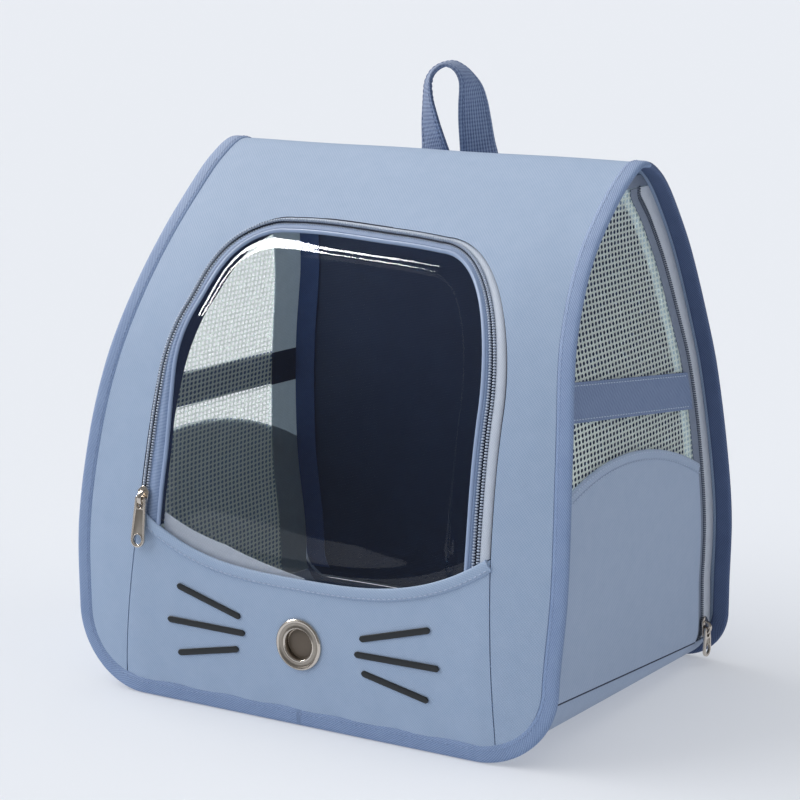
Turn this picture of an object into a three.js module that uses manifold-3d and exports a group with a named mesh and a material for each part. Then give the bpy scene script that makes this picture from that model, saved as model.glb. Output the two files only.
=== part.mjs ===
// Pet carrier backpack: a stiff woven cabin with a clear arched door, net sides and carrying straps.
// Millimetres, +Z up, the front faces -Y. One long wrap panel runs up the front, over the rounded
// ridge and down the back; net sides and a turned-up base close the cabin.
import * as THREE from "three";
import { mergeVertices } from "three/addons/utils/BufferGeometryUtils.js";
import Module from "manifold-3d";

const wasm = await Module();
wasm.setup();

// Driving dimensions
const GAP = 0.3;
const CLOTH = 2;
const NET = 1;
const WEBBING = 25;
const FLOOR = -5;

// The wrap panel's path seen from the side, from the front hem over the ridge to the back hem.
const WRAP_ROWS = [
  { y: -113.5, z: FLOOR },
  { y: -115, z: 30 },
  { y: -114.5, z: 60 },
  { y: -111, z: 100 },
  { y: -105, z: 140 },
  { y: -96.5, z: 180 },
  { y: -83, z: 222 },
  { y: -66, z: 255 },
  { y: -41, z: 288 },
  { y: -13, z: 314 },
  { y: 11, z: 331.5 },
  { y: 35, z: 341 },
  { y: 58, z: 332.5 },
  { y: 79, z: 313 },
  { y: 98, z: 285 },
  { y: 109, z: 252 },
  { y: 114.5, z: 220 },
  { y: 119, z: 180 },
  { y: 124, z: 140 },
  { y: 129, z: 100 },
  { y: 133.5, z: 60 },
  { y: 135.5, z: 30 },
  { y: 134, z: FLOOR },
];

// Half the width over the binding, and how far the middle bows out of the edges' line.
const WIDTH_ROWS = [
  { z: FLOOR, half: 176 },
  { z: 47, half: 176.5 },
  { z: 100, half: 179 },
  { z: 150, half: 176.5 },
  { z: 200, half: 171 },
  { z: 250, half: 162 },
  { z: 295, half: 156 },
  { z: 340, half: 155 },
];
const FRONT_BOW_ROWS = [
  { z: FLOOR, bow: 6.5 },
  { z: 60, bow: 7.5 },
  { z: 100, bow: 7.5 },
  { z: 150, bow: 7 },
  { z: 220, bow: 6 },
  { z: 270, bow: 4 },
  { z: 310, bow: 1 },
  { z: 330, bow: 0 },
];
const BACK_BOW_ROWS = [
  { z: FLOOR, bow: 2 },
  { z: 60, bow: 5 },
  { z: 180, bow: 6 },
  { z: 260, bow: 3 },
  { z: 320, bow: 0 },
];
// The front is nearly flat between its two flanks, which slope back to the binding; the back is one round bow.
const FLANK = { from: 0.7, power: 1.3 };
const BACK_POWER = 4;
const FRONT_CORNER = 52;
const BACK_CORNER = 34;

// Binding tape folded round the panel's edge
const BINDING = { width: 11, thickness: 4.2, lift: 0.4 };
const PANEL_INSET = BINDING.width + BINDING.lift + 2 * GAP;
const PANEL_LOW = FLOOR + PANEL_INSET;

// Side panels stand a little inside the binding, and the base turns up into them.
const SIDE_INSET = 12;
const SIDE_FOOT = 55;
const BASE = { thickness: 3, frontRound: 48, backRound: 28 };
const SEAM = { front: 31, back: 11 };
const NET_EDGE_ROWS = [
  { z: FLOOR, y: 111 },
  { z: 60, y: 108 },
  { z: 110, y: 103 },
  { z: 181, y: 96 },
  { z: 223, y: 90 },
  { z: 270, y: 77 },
  { z: 300, y: 60 },
  { z: 318, y: 43 },
];
const SIDE_ZIP_TOP = 323;
const CAP_TOP = 331;
const ZIP_BEHIND = 9;
const SIDE_COIL = { half: 2.1, lift: 0.6, thickness: 2.2 };

// Front opening: a bib with a smile-shaped top edge below an arched door.
const BIB = { bottomHalf: 137, topHalf: 128.4, topHeight: 119, smileLow: 89.5, smileRise: 31, smileHalf: 130 };
const ARCH = { aside: 2.2, half: 125.5, flat: 53.5, centre: 200, rise: 96.5, crown: 2.5, lean: 0.5, sway: -3.8 };
const ARCH_LEGS = [150, 175];
// The zip runs closer to the edge high on the left, and the upper left corner is pulled out.
const ARCH_PINCH = { from: 150, to: 250, share: 0.5 };
const ARCH_PULL = { from: 245, to: 285, right: -20, left: 60, out: 9, up: 4 };
const RING = { tape: 4.6, coil: 8.6, piping: 16 };
// How far the door's pieces stand out of the front wall, outer face first.
const DOOR_FACES = { tape: [-0.8, -CLOTH], coil: [0.4, -2.2], inner: [-0.6, -CLOTH], pane: [-0.9, -1.9] };
const EYELET = { height: 49, hole: 9.8, barrel: 10.9, flange: 16.5 };

// Bars on the bib: the inner and the outer end of each, mirrored for the other side.
const WHISKER = { width: 4.2, out: 1.2, foot: 0.5 };
const WHISKER_ROWS = [
  { innerX: 44, innerZ: 59.5, outerX: 93, outerZ: 73 },
  { innerX: 40.5, innerZ: 49.5, outerX: 100, outerZ: 50 },
  { innerX: 45.5, innerZ: 38.5, outerX: 92.5, outerZ: 28.5 },
];

// Helpers: tables, surfaces and solids
const lerp = THREE.MathUtils.lerp;
const clamp = THREE.MathUtils.clamp;
const smoothstep = THREE.MathUtils.smoothstep;

// A smooth value between the rows of a table, by cubic Hermite pieces.
function lookup(rows, key, column, at) {
  const last = rows.length - 1;
  const place = clamp(at, rows[0][key], rows[last][key]);
  const i = clamp(rows.findIndex((row) => row[key] >= place) - 1, 0, last - 1);
  const slope = (k) => {
    const before = rows[Math.max(k - 1, 0)];
    const after = rows[Math.min(k + 1, last)];
    return (after[column] - before[column]) / (after[key] - before[key]);
  };
  const span = rows[i + 1][key] - rows[i][key];
  const t = (place - rows[i][key]) / span;
  const start = rows[i][column] * (1 + 2 * t) * (1 - t) ** 2 + slope(i) * span * t * (1 - t) ** 2;
  const end = rows[i + 1][column] * t * t * (3 - 2 * t) + slope(i + 1) * span * t * t * (t - 1);
  return start + end;
}

const wrapCurve = new THREE.SplineCurve(WRAP_ROWS.map((row) => new THREE.Vector2(row.y, row.z)));
wrapCurve.arcLengthDivisions = 600;

function findRidge() {
  const steps = 2000;
  let best = 0;
  for (let k = 0; k <= steps; k++) {
    if (wrapCurve.getPointAt(k / steps).y > wrapCurve.getPointAt(best).y) best = k / steps;
  }
  return best;
}
const RIDGE = findRidge();

const halfWidth = (z) => lookup(WIDTH_ROWS, "z", "half", z);

// The panel's outline inside its binding, with the rounded lower corners.
function edgeX(z, back, inset) {
  const radius = back ? BACK_CORNER : FRONT_CORNER;
  const below = FLOOR + radius - z;
  if (below <= 0) return halfWidth(z) - inset;
  const inner = radius - inset;
  return halfWidth(FLOOR + radius) - radius + Math.sqrt(Math.max(0, inner ** 2 - below ** 2));
}

// A point of the wrap panel: u runs along its path, x across it, and n stands out of it.
function wrapPoint(u, x, n) {
  const point = wrapCurve.getPointAt(u);
  const tangent = wrapCurve.getTangentAt(u);
  const front = u < RIDGE;
  const share = Math.min(1, Math.abs(x) / halfWidth(point.y));
  const slope = Math.max(0, (share - FLANK.from) / (1 - FLANK.from));
  const drop = front ? slope ** FLANK.power : share ** BACK_POWER;
  const out = n + lookup(front ? FRONT_BOW_ROWS : BACK_BOW_ROWS, "z", "bow", point.y) * (1 - drop);
  return new THREE.Vector3(x, point.x - tangent.y * out, point.y + tangent.x * out);
}

// The place along the path where the panel, offset by n, has the height z.
function uAtHeight(z, back, x = 0, n = 0) {
  let low = back ? 1 : 0;
  let high = RIDGE;
  for (let k = 0; k < 40; k++) {
    const middle = (low + high) / 2;
    if (wrapPoint(middle, x, n).z < z) low = middle;
    else high = middle;
  }
  return (low + high) / 2;
}
const wallY = (z, back, x, n) => wrapPoint(uAtHeight(z, back, x, n), x, n).y;

function geometryOf(points, index) {
  const geometry = new THREE.BufferGeometry();
  geometry.setAttribute("position", new THREE.Float32BufferAttribute(points.flatMap((p) => [p.x, p.y, p.z]), 3));
  geometry.setIndex(index);
  let volume = 0;
  for (let k = 0; k < index.length; k += 3) {
    const [a, b, c] = [points[index[k]], points[index[k + 1]], points[index[k + 2]]];
    volume += a.dot(new THREE.Vector3().crossVectors(b, c));
  }
  if (volume < 0) geometry.index.array.reverse();
  return geometry;
}

// A closed sheet: pointAt(row share, column share, layer) gives its outer and inner faces.
function slab(rows, columns, pointAt) {
  const points = [];
  const index = [];
  const at = (layer, i, j) => (layer * (rows + 1) + i) * (columns + 1) + j;
  const quad = (a, b, c, d) => index.push(a, b, c, a, c, d);
  for (let layer = 0; layer < 2; layer++) {
    for (let i = 0; i <= rows; i++) {
      for (let j = 0; j <= columns; j++) points.push(pointAt(i / rows, j / columns, layer));
    }
  }
  for (let i = 0; i < rows; i++) {
    for (let j = 0; j < columns; j++) {
      quad(at(0, i, j), at(0, i + 1, j), at(0, i + 1, j + 1), at(0, i, j + 1));
      quad(at(1, i, j), at(1, i, j + 1), at(1, i + 1, j + 1), at(1, i + 1, j));
    }
  }
  const rim = [];
  for (let i = 0; i < rows; i++) rim.push([i, 0]);
  for (let j = 0; j < columns; j++) rim.push([rows, j]);
  for (let i = rows; i > 0; i--) rim.push([i, columns]);
  for (let j = columns; j > 0; j--) rim.push([0, j]);
  rim.forEach((here, k) => {
    const next = rim[(k + 1) % rim.length];
    quad(at(0, ...next), at(0, ...here), at(1, ...here), at(1, ...next));
  });
  return geometryOf(points, index);
}

// A closed solid through rings of equally many points.
function loft(rings) {
  const sides = rings[0].length;
  const index = [];
  for (let i = 0; i + 1 < rings.length; i++) {
    for (let k = 0; k < sides; k++) {
      const a = i * sides + k;
      const b = i * sides + ((k + 1) % sides);
      index.push(a, b, b + sides, a, b + sides, a + sides);
    }
  }
  const end = (rings.length - 1) * sides;
  for (let k = 1; k + 1 < sides; k++) index.push(0, k + 1, k, end, end + k, end + k + 1);
  return geometryOf(rings.flat(), index);
}

// A strap-like ring round a centre: width along across, thickness along out, with sides brought to an edge.
function strapRing(centre, across, out, width, thickness) {
  const w = width / 2;
  const t = thickness / 2;
  const corners = [[w, 0], [w - t, t], [t - w, t], [-w, 0], [t - w, -t], [w - t, -t]];
  return corners.map(([a, b]) => centre.clone().addScaledVector(across, a).addScaledVector(out, b));
}

// The direction of a path of points at one of them.
function pathTangent(path, i) {
  const before = path[Math.max(i - 1, 0)];
  const after = path[Math.min(i + 1, path.length - 1)];
  return new THREE.Vector3().subVectors(after, before).normalize();
}

function solidOf(geometry) {
  const bare = geometry.clone();
  bare.deleteAttribute("normal");
  bare.deleteAttribute("uv");
  const merged = mergeVertices(bare, 1e-4);
  const vertProperties = merged.attributes.position.array;
  const triVerts = new Uint32Array(merged.index.array);
  return new wasm.Manifold(new wasm.Mesh({ numProp: 3, vertProperties, triVerts }));
}

function geometryFrom(solid) {
  const mesh = solid.getMesh();
  const geometry = new THREE.BufferGeometry();
  geometry.setAttribute("position", new THREE.BufferAttribute(mesh.vertProperties, 3));
  geometry.setIndex(new THREE.BufferAttribute(mesh.triVerts, 1));
  return geometry;
}

// A prism through the front wall, from an outline drawn in the front view.
const FRONT_REACH = { near: 20, depth: 170 };
function frontPrism(outline) {
  const shape = new THREE.Shape(outline);
  const prism = new THREE.ExtrudeGeometry(shape, { depth: FRONT_REACH.depth, bevelEnabled: false });
  prism.rotateX(Math.PI / 2);
  prism.translate(0, FRONT_REACH.near, 0);
  return solidOf(prism);
}

// A sheet of the front wall between two heights and two x limits, from nOut down to nIn.
function frontSheet(area, nOut, nIn, rows, columns) {
  const uLow = uAtHeight(area.low, false);
  const uHigh = uAtHeight(area.high, false);
  return solidOf(
    slab(rows, columns, (i, j, layer) =>
      wrapPoint(lerp(uLow, uHigh, i), lerp(area.left, area.right, j), layer ? nIn : nOut),
    ),
  );
}

// Finishes
const finish = (color, roughness, metalness = 0) =>
  new THREE.MeshStandardMaterial({ color, roughness, metalness, side: THREE.DoubleSide });
const FABRIC = finish(0x9fb4d2, 0.75);
const BINDING_TAPE = finish(0x6f88b5, 0.8);
const WEBBING_CLOTH = finish(0x53678c, 0.85);
const NET_CLOTH = finish(0xc3d2c6, 0.8);
const LINING_CLOTH = finish(0x2b3240, 0.7);
const MAT = finish(0x8d8f94, 0.9);
const ZIP_TAPE = finish(0xa9b6c9, 0.8);
const ZIP_COIL = finish(0x8fa0bb, 0.45);
const METAL = finish(0xb8b0a6, 0.3, 1);
const PRINT = finish(0x1b2226, 0.6);
const DISC = finish(0x5e5347, 0.5);
const BUCKLE = finish(0x3b4760, 0.5);
const PANE = new THREE.MeshStandardMaterial({
  color: 0xe6eef2, roughness: 0.08, transparent: true, opacity: 0.3,
});

const carrier = new THREE.Group();
function addPiece(name, geometry, material) {
  const mesh = new THREE.Mesh(geometry, material);
  mesh.name = name;
  carrier.add(mesh);
}

// Front opening outlines, in the front view
const onSmile = (x) => new THREE.Vector2(x, smileHeight(x));
const smileHeight = (x) => BIB.smileLow + BIB.smileRise * (Math.abs(x) / BIB.smileHalf) ** 3;

// Half the width of the bib at a height.
function openingHalf(z) {
  return lerp(BIB.bottomHalf, BIB.topHalf, (z - PANEL_LOW) / (BIB.topHeight - PANEL_LOW));
}

// The arch from its right foot over the top to its left foot, a given distance inside the opening.
function archPoints(inset) {
  const corners = 9;
  const rise = ARCH.rise - inset * ARCH.lean;
  const sway = ARCH.sway * Math.max(0, Math.sin((Math.PI * inset) / RING.piping));
  const sideOf = (side) => {
    const place = (half, z, spread) => {
      const pinch = side < 0 ? 1 - ARCH_PINCH.share * smoothstep(z, ARCH_PINCH.from, ARCH_PINCH.to) : 1;
      return new THREE.Vector2(ARCH.aside + side * (half - inset * pinch * spread) + sway * pinch, z);
    };
    const points = ARCH_LEGS.map((z) => {
      const down = (ARCH.centre - z) / (ARCH.centre - BIB.topHeight);
      return place(lerp(ARCH.half, BIB.topHalf, down), z, 1);
    });
    for (let k = 0; k <= corners; k++) {
      const turn = (k / corners) * (Math.PI / 2);
      const spread = Math.cos(turn);
      points.push(place(lerp(ARCH.flat, ARCH.half, spread), ARCH.centre + rise * Math.sin(turn), spread));
    }
    points.push(place(ARCH.flat / 2, ARCH.centre + rise + ARCH.crown * 0.75, 0));
    return points;
  };
  const top = new THREE.Vector2(ARCH.aside + sway, ARCH.centre + rise + ARCH.crown);
  const pulled = (p) => {
    const high = smoothstep(p.y, ARCH_PULL.from, ARCH_PULL.to);
    const share = high * smoothstep(-p.x, ARCH_PULL.right, ARCH_PULL.left);
    return new THREE.Vector2(p.x - ARCH_PULL.out * share, p.y + ARCH_PULL.up * share);
  };
  const footAt = (side) => {
    const x = ARCH.aside + side * (BIB.topHalf - inset) + sway;
    return new THREE.Vector2(x, smileHeight(x) + 2 * GAP);
  };
  return [footAt(1), ...[...sideOf(1), top, ...sideOf(-1).reverse()].map(pulled), footAt(-1)];
}
const archBand = (outer, inner) => [...archPoints(outer), ...archPoints(inner).reverse()];

// The smile edge from the left to the right, a little above or below the bib's hem.
function smilePoints(half, lift) {
  const steps = 20;
  const points = [];
  for (let k = 0; k <= steps; k++) {
    const x = lerp(-half, half, k / steps);
    points.push(new THREE.Vector2(x, smileHeight(x) + lift));
  }
  return points;
}

// Wrap panel: front surround, top and back in one sheet, with the front opening cut out.
function makeWrapPanel() {
  const rises = [0, 2, 6, 13, 22, 33];
  const frontCorner = rises.map((rise) => uAtHeight(PANEL_LOW + rise, false));
  const backCorner = rises.map((rise) => uAtHeight(PANEL_LOW + rise * 0.7, true)).reverse();
  const start = uAtHeight(PANEL_LOW + 46, false);
  const finishAt = uAtHeight(PANEL_LOW + 34, true);
  const along = 38;
  const middle = Array.from({ length: along + 1 }, (_, k) => lerp(start, finishAt, k / along));
  const stations = [...frontCorner, ...middle, ...backCorner];
  const rows = stations.length - 1;
  const sheet = slab(rows, 8, (i, j, layer) => {
    const u = stations[Math.round(i * rows)];
    const x = edgeX(wrapCurve.getPointAt(u).y, u > RIDGE, PANEL_INSET);
    return wrapPoint(u, lerp(-x, x, j), layer ? -CLOTH : 0);
  });
  const low = FLOOR - 5;
  const half = openingHalf(low);
  const arch = archPoints(0).slice(1, -1);
  const outline = [
    new THREE.Vector2(half, low),
    onSmile(ARCH.aside + BIB.topHalf),
    ...arch,
    onSmile(ARCH.aside - BIB.topHalf),
    new THREE.Vector2(-half, low),
  ];
  addPiece("wrap_panel", geometryFrom(solidOf(sheet).subtract(frontPrism(outline))), FABRIC);
}

// Dark sheet on the inside of the back wall.
const LINING = { top: 304, inset: 4 };
function makeLining() {
  const uTop = uAtHeight(LINING.top, true);
  const uBottom = uAtHeight(PANEL_LOW + 2, true);
  const depth = CLOTH + 2 * GAP;
  const sheet = slab(14, 4, (i, j, layer) => {
    const u = lerp(uTop, uBottom, i);
    const z = wrapCurve.getPointAt(u).y;
    const wall = sideX(wrapCurve.getPointAt(u).x, Math.max(z, SIDE_FOOT));
    const x = Math.min(wall, edgeX(z, true, PANEL_INSET)) - LINING.inset;
    return wrapPoint(u, lerp(-x, x, j), -depth - layer * NET);
  });
  addPiece("back_lining", sheet, LINING_CLOTH);
}

// Binding: half of the tape's loop, from the middle of the front hem round one side to the back hem.
function makeBinding(name, side) {
  const inset = BINDING.width / 2;
  const hem = inset + BINDING.lift;
  const hemSteps = 5;
  const cornerSteps = 8;
  const sideSteps = 38;
  const stations = [];
  const cornerOf = (back) => (back ? BACK_CORNER : FRONT_CORNER);
  const bottom = (back) => halfWidth(FLOOR + cornerOf(back)) - cornerOf(back);
  const cornerRun = (back) => {
    const radius = cornerOf(back);
    const run = [];
    for (let k = 0; k < hemSteps; k++) run.push({ x: lerp(GAP / 2, bottom(back), k / hemSteps), z: hem });
    for (let k = 0; k < cornerSteps; k++) {
      const turn = (k / cornerSteps) * (Math.PI / 2);
      const reach = radius - hem;
      run.push({ x: bottom(back) + (radius - inset) * Math.sin(turn), z: radius - reach * Math.cos(turn) });
    }
    return run.map((p) => ({ x: p.x, u: uAtHeight(FLOOR + p.z, back) }));
  };
  stations.push(...cornerRun(false));
  const uStart = uAtHeight(FLOOR + FRONT_CORNER, false);
  const uEnd = uAtHeight(FLOOR + BACK_CORNER, true);
  for (let k = 0; k <= sideSteps; k++) {
    const u = lerp(uStart, uEnd, k / sideSteps);
    stations.push({ u, x: halfWidth(wrapCurve.getPointAt(u).y) - inset });
  }
  stations.push(...cornerRun(true).reverse());
  const path = stations.map((p) => wrapPoint(p.u, side * p.x, -CLOTH / 2));
  const rings = path.map((centre, i) => {
    const { u, x } = stations[i];
    const out = wrapPoint(u, side * x, 1).sub(wrapPoint(u, side * x, 0)).normalize();
    const across = new THREE.Vector3().crossVectors(pathTangent(path, i), out).normalize();
    return strapRing(centre, across, out, BINDING.width, BINDING.thickness);
  });
  rings[0].forEach((p) => p.setX((side * GAP) / 2));
  rings[rings.length - 1].forEach((p) => p.setX((side * GAP) / 2));
  addPiece(name, loft(rings), BINDING_TAPE);
}

// Sides: the plane of a side panel at a depth and a height, with its turn into the base.
const CABIN = { front: -110, back: 132 };
const depthShare = (y) => clamp((y - CABIN.front) / (CABIN.back - CABIN.front), 0, 1);
const baseRound = (y) => lerp(BASE.frontRound, BASE.backRound, depthShare(y));
const seamHeight = (y) => lerp(SEAM.front, SEAM.back, depthShare(y));
const netEdge = (z) => lookup(NET_EDGE_ROWS, "z", "y", z);
const zipY = (z) => netEdge(z) + ZIP_BEHIND;
function sideX(y, z) {
  const x = halfWidth(Math.max(z, SIDE_FOOT)) - SIDE_INSET;
  const round = baseRound(y);
  const below = FLOOR + round - z;
  return below <= 0 ? x : x - round + Math.sqrt(round ** 2 - below ** 2);
}

// A sheet on a side, between two depth limits and two height limits, from one offset to another.
function sideSheet(side, size, frontY, backY, lowZ, highZ, offsetOut, offsetIn) {
  return slab(size.rows, size.columns, (i, j, layer) => {
    let y = lerp(CABIN.front, CABIN.back, j);
    let z = 0;
    for (let pass = 0; pass < 5; pass++) {
      z = lerp(lowZ(y), highZ(y), size.spread(i));
      y = lerp(frontY(z), backY(z), j);
    }
    return new THREE.Vector3(side * (sideX(y, z) + (layer ? offsetIn : offsetOut)), y, z);
  });
}
// Rows crowd at the foot, where the side turns into the base, and at the top, where the zip curves most.
const FOOT_ROWS = { share: 0.2, rise: 0.12 };
function crowdBoth(share) {
  if (share < FOOT_ROWS.share) return (share / FOOT_ROWS.share) * FOOT_ROWS.rise;
  const rest = (share - FOOT_ROWS.share) / (1 - FOOT_ROWS.share);
  return FOOT_ROWS.rise + (1 - FOOT_ROWS.rise) * (1 - (1 - rest) ** 1.5);
}
const crowdFoot = (share) => share ** 1.4;
const even = (share) => share;
const NET_OFFSET = -1.5;
const POCKET = { inner: -0.4, outer: 1.1, crest: -15, reach: 112 };
const BAND = { y: -69, width: 24 };
// The left side is sewn lower and straighter than the right one.
const SEWN = {
  left: { pocketTop: 148, pocketFall: 22, bandZ: 176, bandSlope: -0.033 },
  right: { pocketTop: 166, pocketFall: 26, bandZ: 209, bandSlope: -0.13 },
};
const EDGE = { high: -CLOTH - 0.5, low: -CLOTH - 2, from: 50, to: 75 };
const sideWall = (back, high, low) => (z) => {
  const n = lerp(low, high, smoothstep(z, EDGE.from, EDGE.to));
  return wallY(z, back, halfWidth(z) - SIDE_INSET, n);
};
const netWall = (back) => sideWall(back, EDGE.high, EDGE.low);
const outerWall = (back) => sideWall(back, EDGE.low, EDGE.low);
const aboveSeam = (y) => seamHeight(y) + 0.8;

function makeSide(name, side) {
  const sewn = SEWN[name];
  const pocketTop = (y) => sewn.pocketTop - sewn.pocketFall * ((y - POCKET.crest) / POCKET.reach) ** 2;
  const bandHeight = (y) => sewn.bandZ + sewn.bandSlope * (y - BAND.y);
  const behindNet = (z) => netEdge(z) + 2 * GAP;
  const beforeZip = (z) => zipY(z) - SIDE_COIL.half - 2 * GAP;
  const behindZip = (z) => zipY(z) + SIDE_COIL.half + 2 * GAP;
  const zipTop = () => SIDE_ZIP_TOP;
  const netIn = NET_OFFSET - NET / 2;
  const netOut = NET_OFFSET + NET / 2;
  const net = sideSheet(
    side, { rows: 20, columns: 4, spread: crowdBoth }, netWall(false), netEdge, aboveSeam, zipTop, netOut, netIn,
  );
  addPiece("side_mesh_" + name, net, NET_CLOTH);
  const tape = sideSheet(
    side, { rows: 20, columns: 1, spread: crowdBoth }, behindNet, beforeZip, aboveSeam, zipTop, netOut, netIn,
  );
  addPiece("side_zip_tape_" + name, tape, ZIP_TAPE);
  const strip = sideSheet(
    side, { rows: 20, columns: 1, spread: crowdBoth }, behindZip, netWall(true), aboveSeam, zipTop, netOut, netIn,
  );
  addPiece("side_strip_" + name, strip, FABRIC);
  const cap = sideSheet(
    side, { rows: 3, columns: 3, spread: even }, netWall(false), netWall(true), () => SIDE_ZIP_TOP + 2 * GAP,
    () => CAP_TOP, netOut, netIn,
  );
  addPiece("side_cap_" + name, cap, FABRIC);
  const pocket = sideSheet(
    side, { rows: 8, columns: 6, spread: crowdFoot }, outerWall(false), netEdge, aboveSeam, pocketTop,
    POCKET.outer, POCKET.inner,
  );
  addPiece("side_pocket_" + name, pocket, FABRIC);
  const band = sideSheet(
    side, { rows: 2, columns: 4, spread: even }, outerWall(false), netEdge,
    (y) => bandHeight(y) - BAND.width / 2, (y) => bandHeight(y) + BAND.width / 2, POCKET.outer, POCKET.inner,
  );
  addPiece("side_band_" + name, band, WEBBING_CLOTH);
  makeSideZip(name, side);
}

// The side door's zip: a strip of coil down to the seam.
function makeSideZip(name, side) {
  const steps = 20;
  const low = aboveSeam(zipY(SEAM.back));
  const across = new THREE.Vector3(0, 1, 0);
  const out = new THREE.Vector3(side, 0, 0);
  const rings = [];
  for (let k = 0; k <= steps; k++) {
    const z = lerp(low, SIDE_ZIP_TOP, crowdBoth(k / steps));
    const centre = new THREE.Vector3(side * (sideX(zipY(z), z) + NET_OFFSET + SIDE_COIL.lift), zipY(z), z);
    rings.push(strapRing(centre, across, out, 2 * SIDE_COIL.half, SIDE_COIL.thickness));
  }
  addPiece("side_zip_coil_" + name, loft(rings), ZIP_COIL);
}

// Base: a board with its sides turned up, and a mat on it.
function makeBase() {
  const arcSteps = 5;
  const flatSteps = 4;
  const columns = 2 * arcSteps + flatSteps;
  const rows = 6;
  const edge = -CLOTH - 2;
  const sheet = slab(rows, columns, (i, j, layer) => {
    const guess = lerp(CABIN.front, CABIN.back, i);
    const round = baseRound(guess);
    const wall = halfWidth(SIDE_FOOT) - SIDE_INSET;
    const reach = round - layer * BASE.thickness;
    const first = Math.asin(clamp((FLOOR + round - seamHeight(guess)) / reach, 0, 1));
    const step = Math.round(j * columns);
    const fromEdge = Math.min(step, columns - step);
    const turn = lerp(first, Math.PI / 2, Math.min(1, fromEdge / arcSteps));
    const flatShare = clamp((step - arcSteps) / flatSteps, 0, 1);
    const x = lerp(1, -1, flatShare) * (wall - round) + (step < arcSteps ? 1 : -1) * reach * Math.cos(turn);
    const z = FLOOR + round - reach * Math.sin(turn);
    const wallHeight = Math.max(z, FLOOR + 0.5);
    return new THREE.Vector3(x, lerp(wallY(wallHeight, false, x, edge), wallY(wallHeight, true, x, edge), i), z);
  });
  addPiece("base_panel", sheet, FABRIC);
  const mat = { half: 114, front: -104, back: 124, round: 20, thickness: 4 };
  const shape = new THREE.Shape();
  const turns = [[1, -1, -90], [1, 1, 0], [-1, 1, 90], [-1, -1, 180]];
  turns.forEach(([sx, sy, from]) => {
    const x = sx * (mat.half - mat.round);
    const y = sy > 0 ? mat.back - mat.round : mat.front + mat.round;
    const start = THREE.MathUtils.degToRad(from);
    shape.absarc(x, y, mat.round, start, start + Math.PI / 2, false);
  });
  const settings = { depth: mat.thickness, bevelEnabled: false, curveSegments: 4 };
  const plate = new THREE.ExtrudeGeometry(shape, settings);
  plate.translate(0, 0, FLOOR + BASE.thickness + GAP);
  addPiece("floor_mat", geometryFrom(solidOf(plate)), MAT);
}

// Front: bib, bars, eyelet, door pane and zip.
function makeFront() {
  const bottom = halfWidth(FLOOR + FRONT_CORNER) - FRONT_CORNER;
  const corner = PANEL_LOW + 4;
  const bibSide = (side) => {
    const top = ARCH.aside + side * (BIB.topHalf - GAP);
    return [
      new THREE.Vector2(side * bottom, FLOOR),
      new THREE.Vector2(side * bottom, PANEL_LOW),
      new THREE.Vector2(side * (openingHalf(corner) - 2 * GAP), corner),
      new THREE.Vector2(top - side * GAP, smileHeight(top)),
    ];
  };
  const bibRight = bibSide(1);
  const bibLeft = bibSide(-1).reverse();
  const smile = smilePoints(BIB.topHalf - ARCH.aside - 1, 0).reverse();
  const hole = new THREE.CylinderGeometry(EYELET.barrel + GAP, EYELET.barrel + GAP, 40, 24);
  hole.translate(0, wallY(EYELET.height, false, 0, 0), EYELET.height);
  const bibArea = { low: PANEL_LOW, high: 125, left: -BIB.bottomHalf - 5, right: BIB.bottomHalf + 5 };
  const bib = frontSheet(bibArea, 0, -CLOTH, 8, 10)
    .intersect(frontPrism([...bibRight, ...smile, ...bibLeft]))
    .subtract(solidOf(hole));
  addPiece("bib_panel", geometryFrom(bib), FABRIC);

  const doorArea = { low: 85, high: 308, left: -135, right: 135 };
  const door = (outline, faces) => frontSheet(doorArea, ...faces, 14, 8).intersect(frontPrism(outline));
  const paneInset = RING.piping + GAP;
  const sill = smilePoints(BIB.topHalf - paneInset - ARCH.aside, 2 * GAP).slice(1, -1);
  const pane = [...archPoints(paneInset), ...sill];
  addPiece("zip_tape_outer", geometryFrom(door(archBand(GAP, RING.tape), DOOR_FACES.tape)), ZIP_TAPE);
  addPiece("zip_coil", geometryFrom(door(archBand(RING.tape + GAP, RING.coil), DOOR_FACES.coil)), ZIP_COIL);
  const innerTape = door(archBand(RING.coil + GAP, RING.piping), DOOR_FACES.inner);
  addPiece("zip_tape_inner", geometryFrom(innerTape), ZIP_TAPE);
  addPiece("window_pane", geometryFrom(door(pane, DOOR_FACES.pane)), PANE);

  const names = ["left", "right"];
  names.forEach((name, k) => {
    WHISKER_ROWS.forEach((row, i) => makeWhisker(`whisker_${name}_${i + 1}`, row, k ? 1 : -1));
  });
  makeEyelet();
}

// A bar with round ends, laid on the bib.
function makeWhisker(name, row, side) {
  const inner = new THREE.Vector2(side * row.innerX, row.innerZ);
  const outer = new THREE.Vector2(side * row.outerX, row.outerZ);
  const along = new THREE.Vector2().subVectors(outer, inner).angle();
  const shape = new THREE.Shape();
  const quarter = Math.PI / 2;
  shape.absarc(inner.x, inner.y, WHISKER.width / 2, along + quarter, along + 3 * quarter, false);
  shape.absarc(outer.x, outer.y, WHISKER.width / 2, along - quarter, along + quarter, false);
  const outline = shape.getPoints(3);
  const reach = 5;
  const area = {
    low: Math.min(row.innerZ, row.outerZ) - reach,
    high: Math.max(row.innerZ, row.outerZ) + reach,
    left: Math.min(inner.x, outer.x) - reach,
    right: Math.max(inner.x, outer.x) + reach,
  };
  const bar = frontSheet(area, WHISKER.out, WHISKER.foot, 2, 4).intersect(frontPrism(outline));
  addPiece(name, geometryFrom(bar), PRINT);
}

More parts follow.
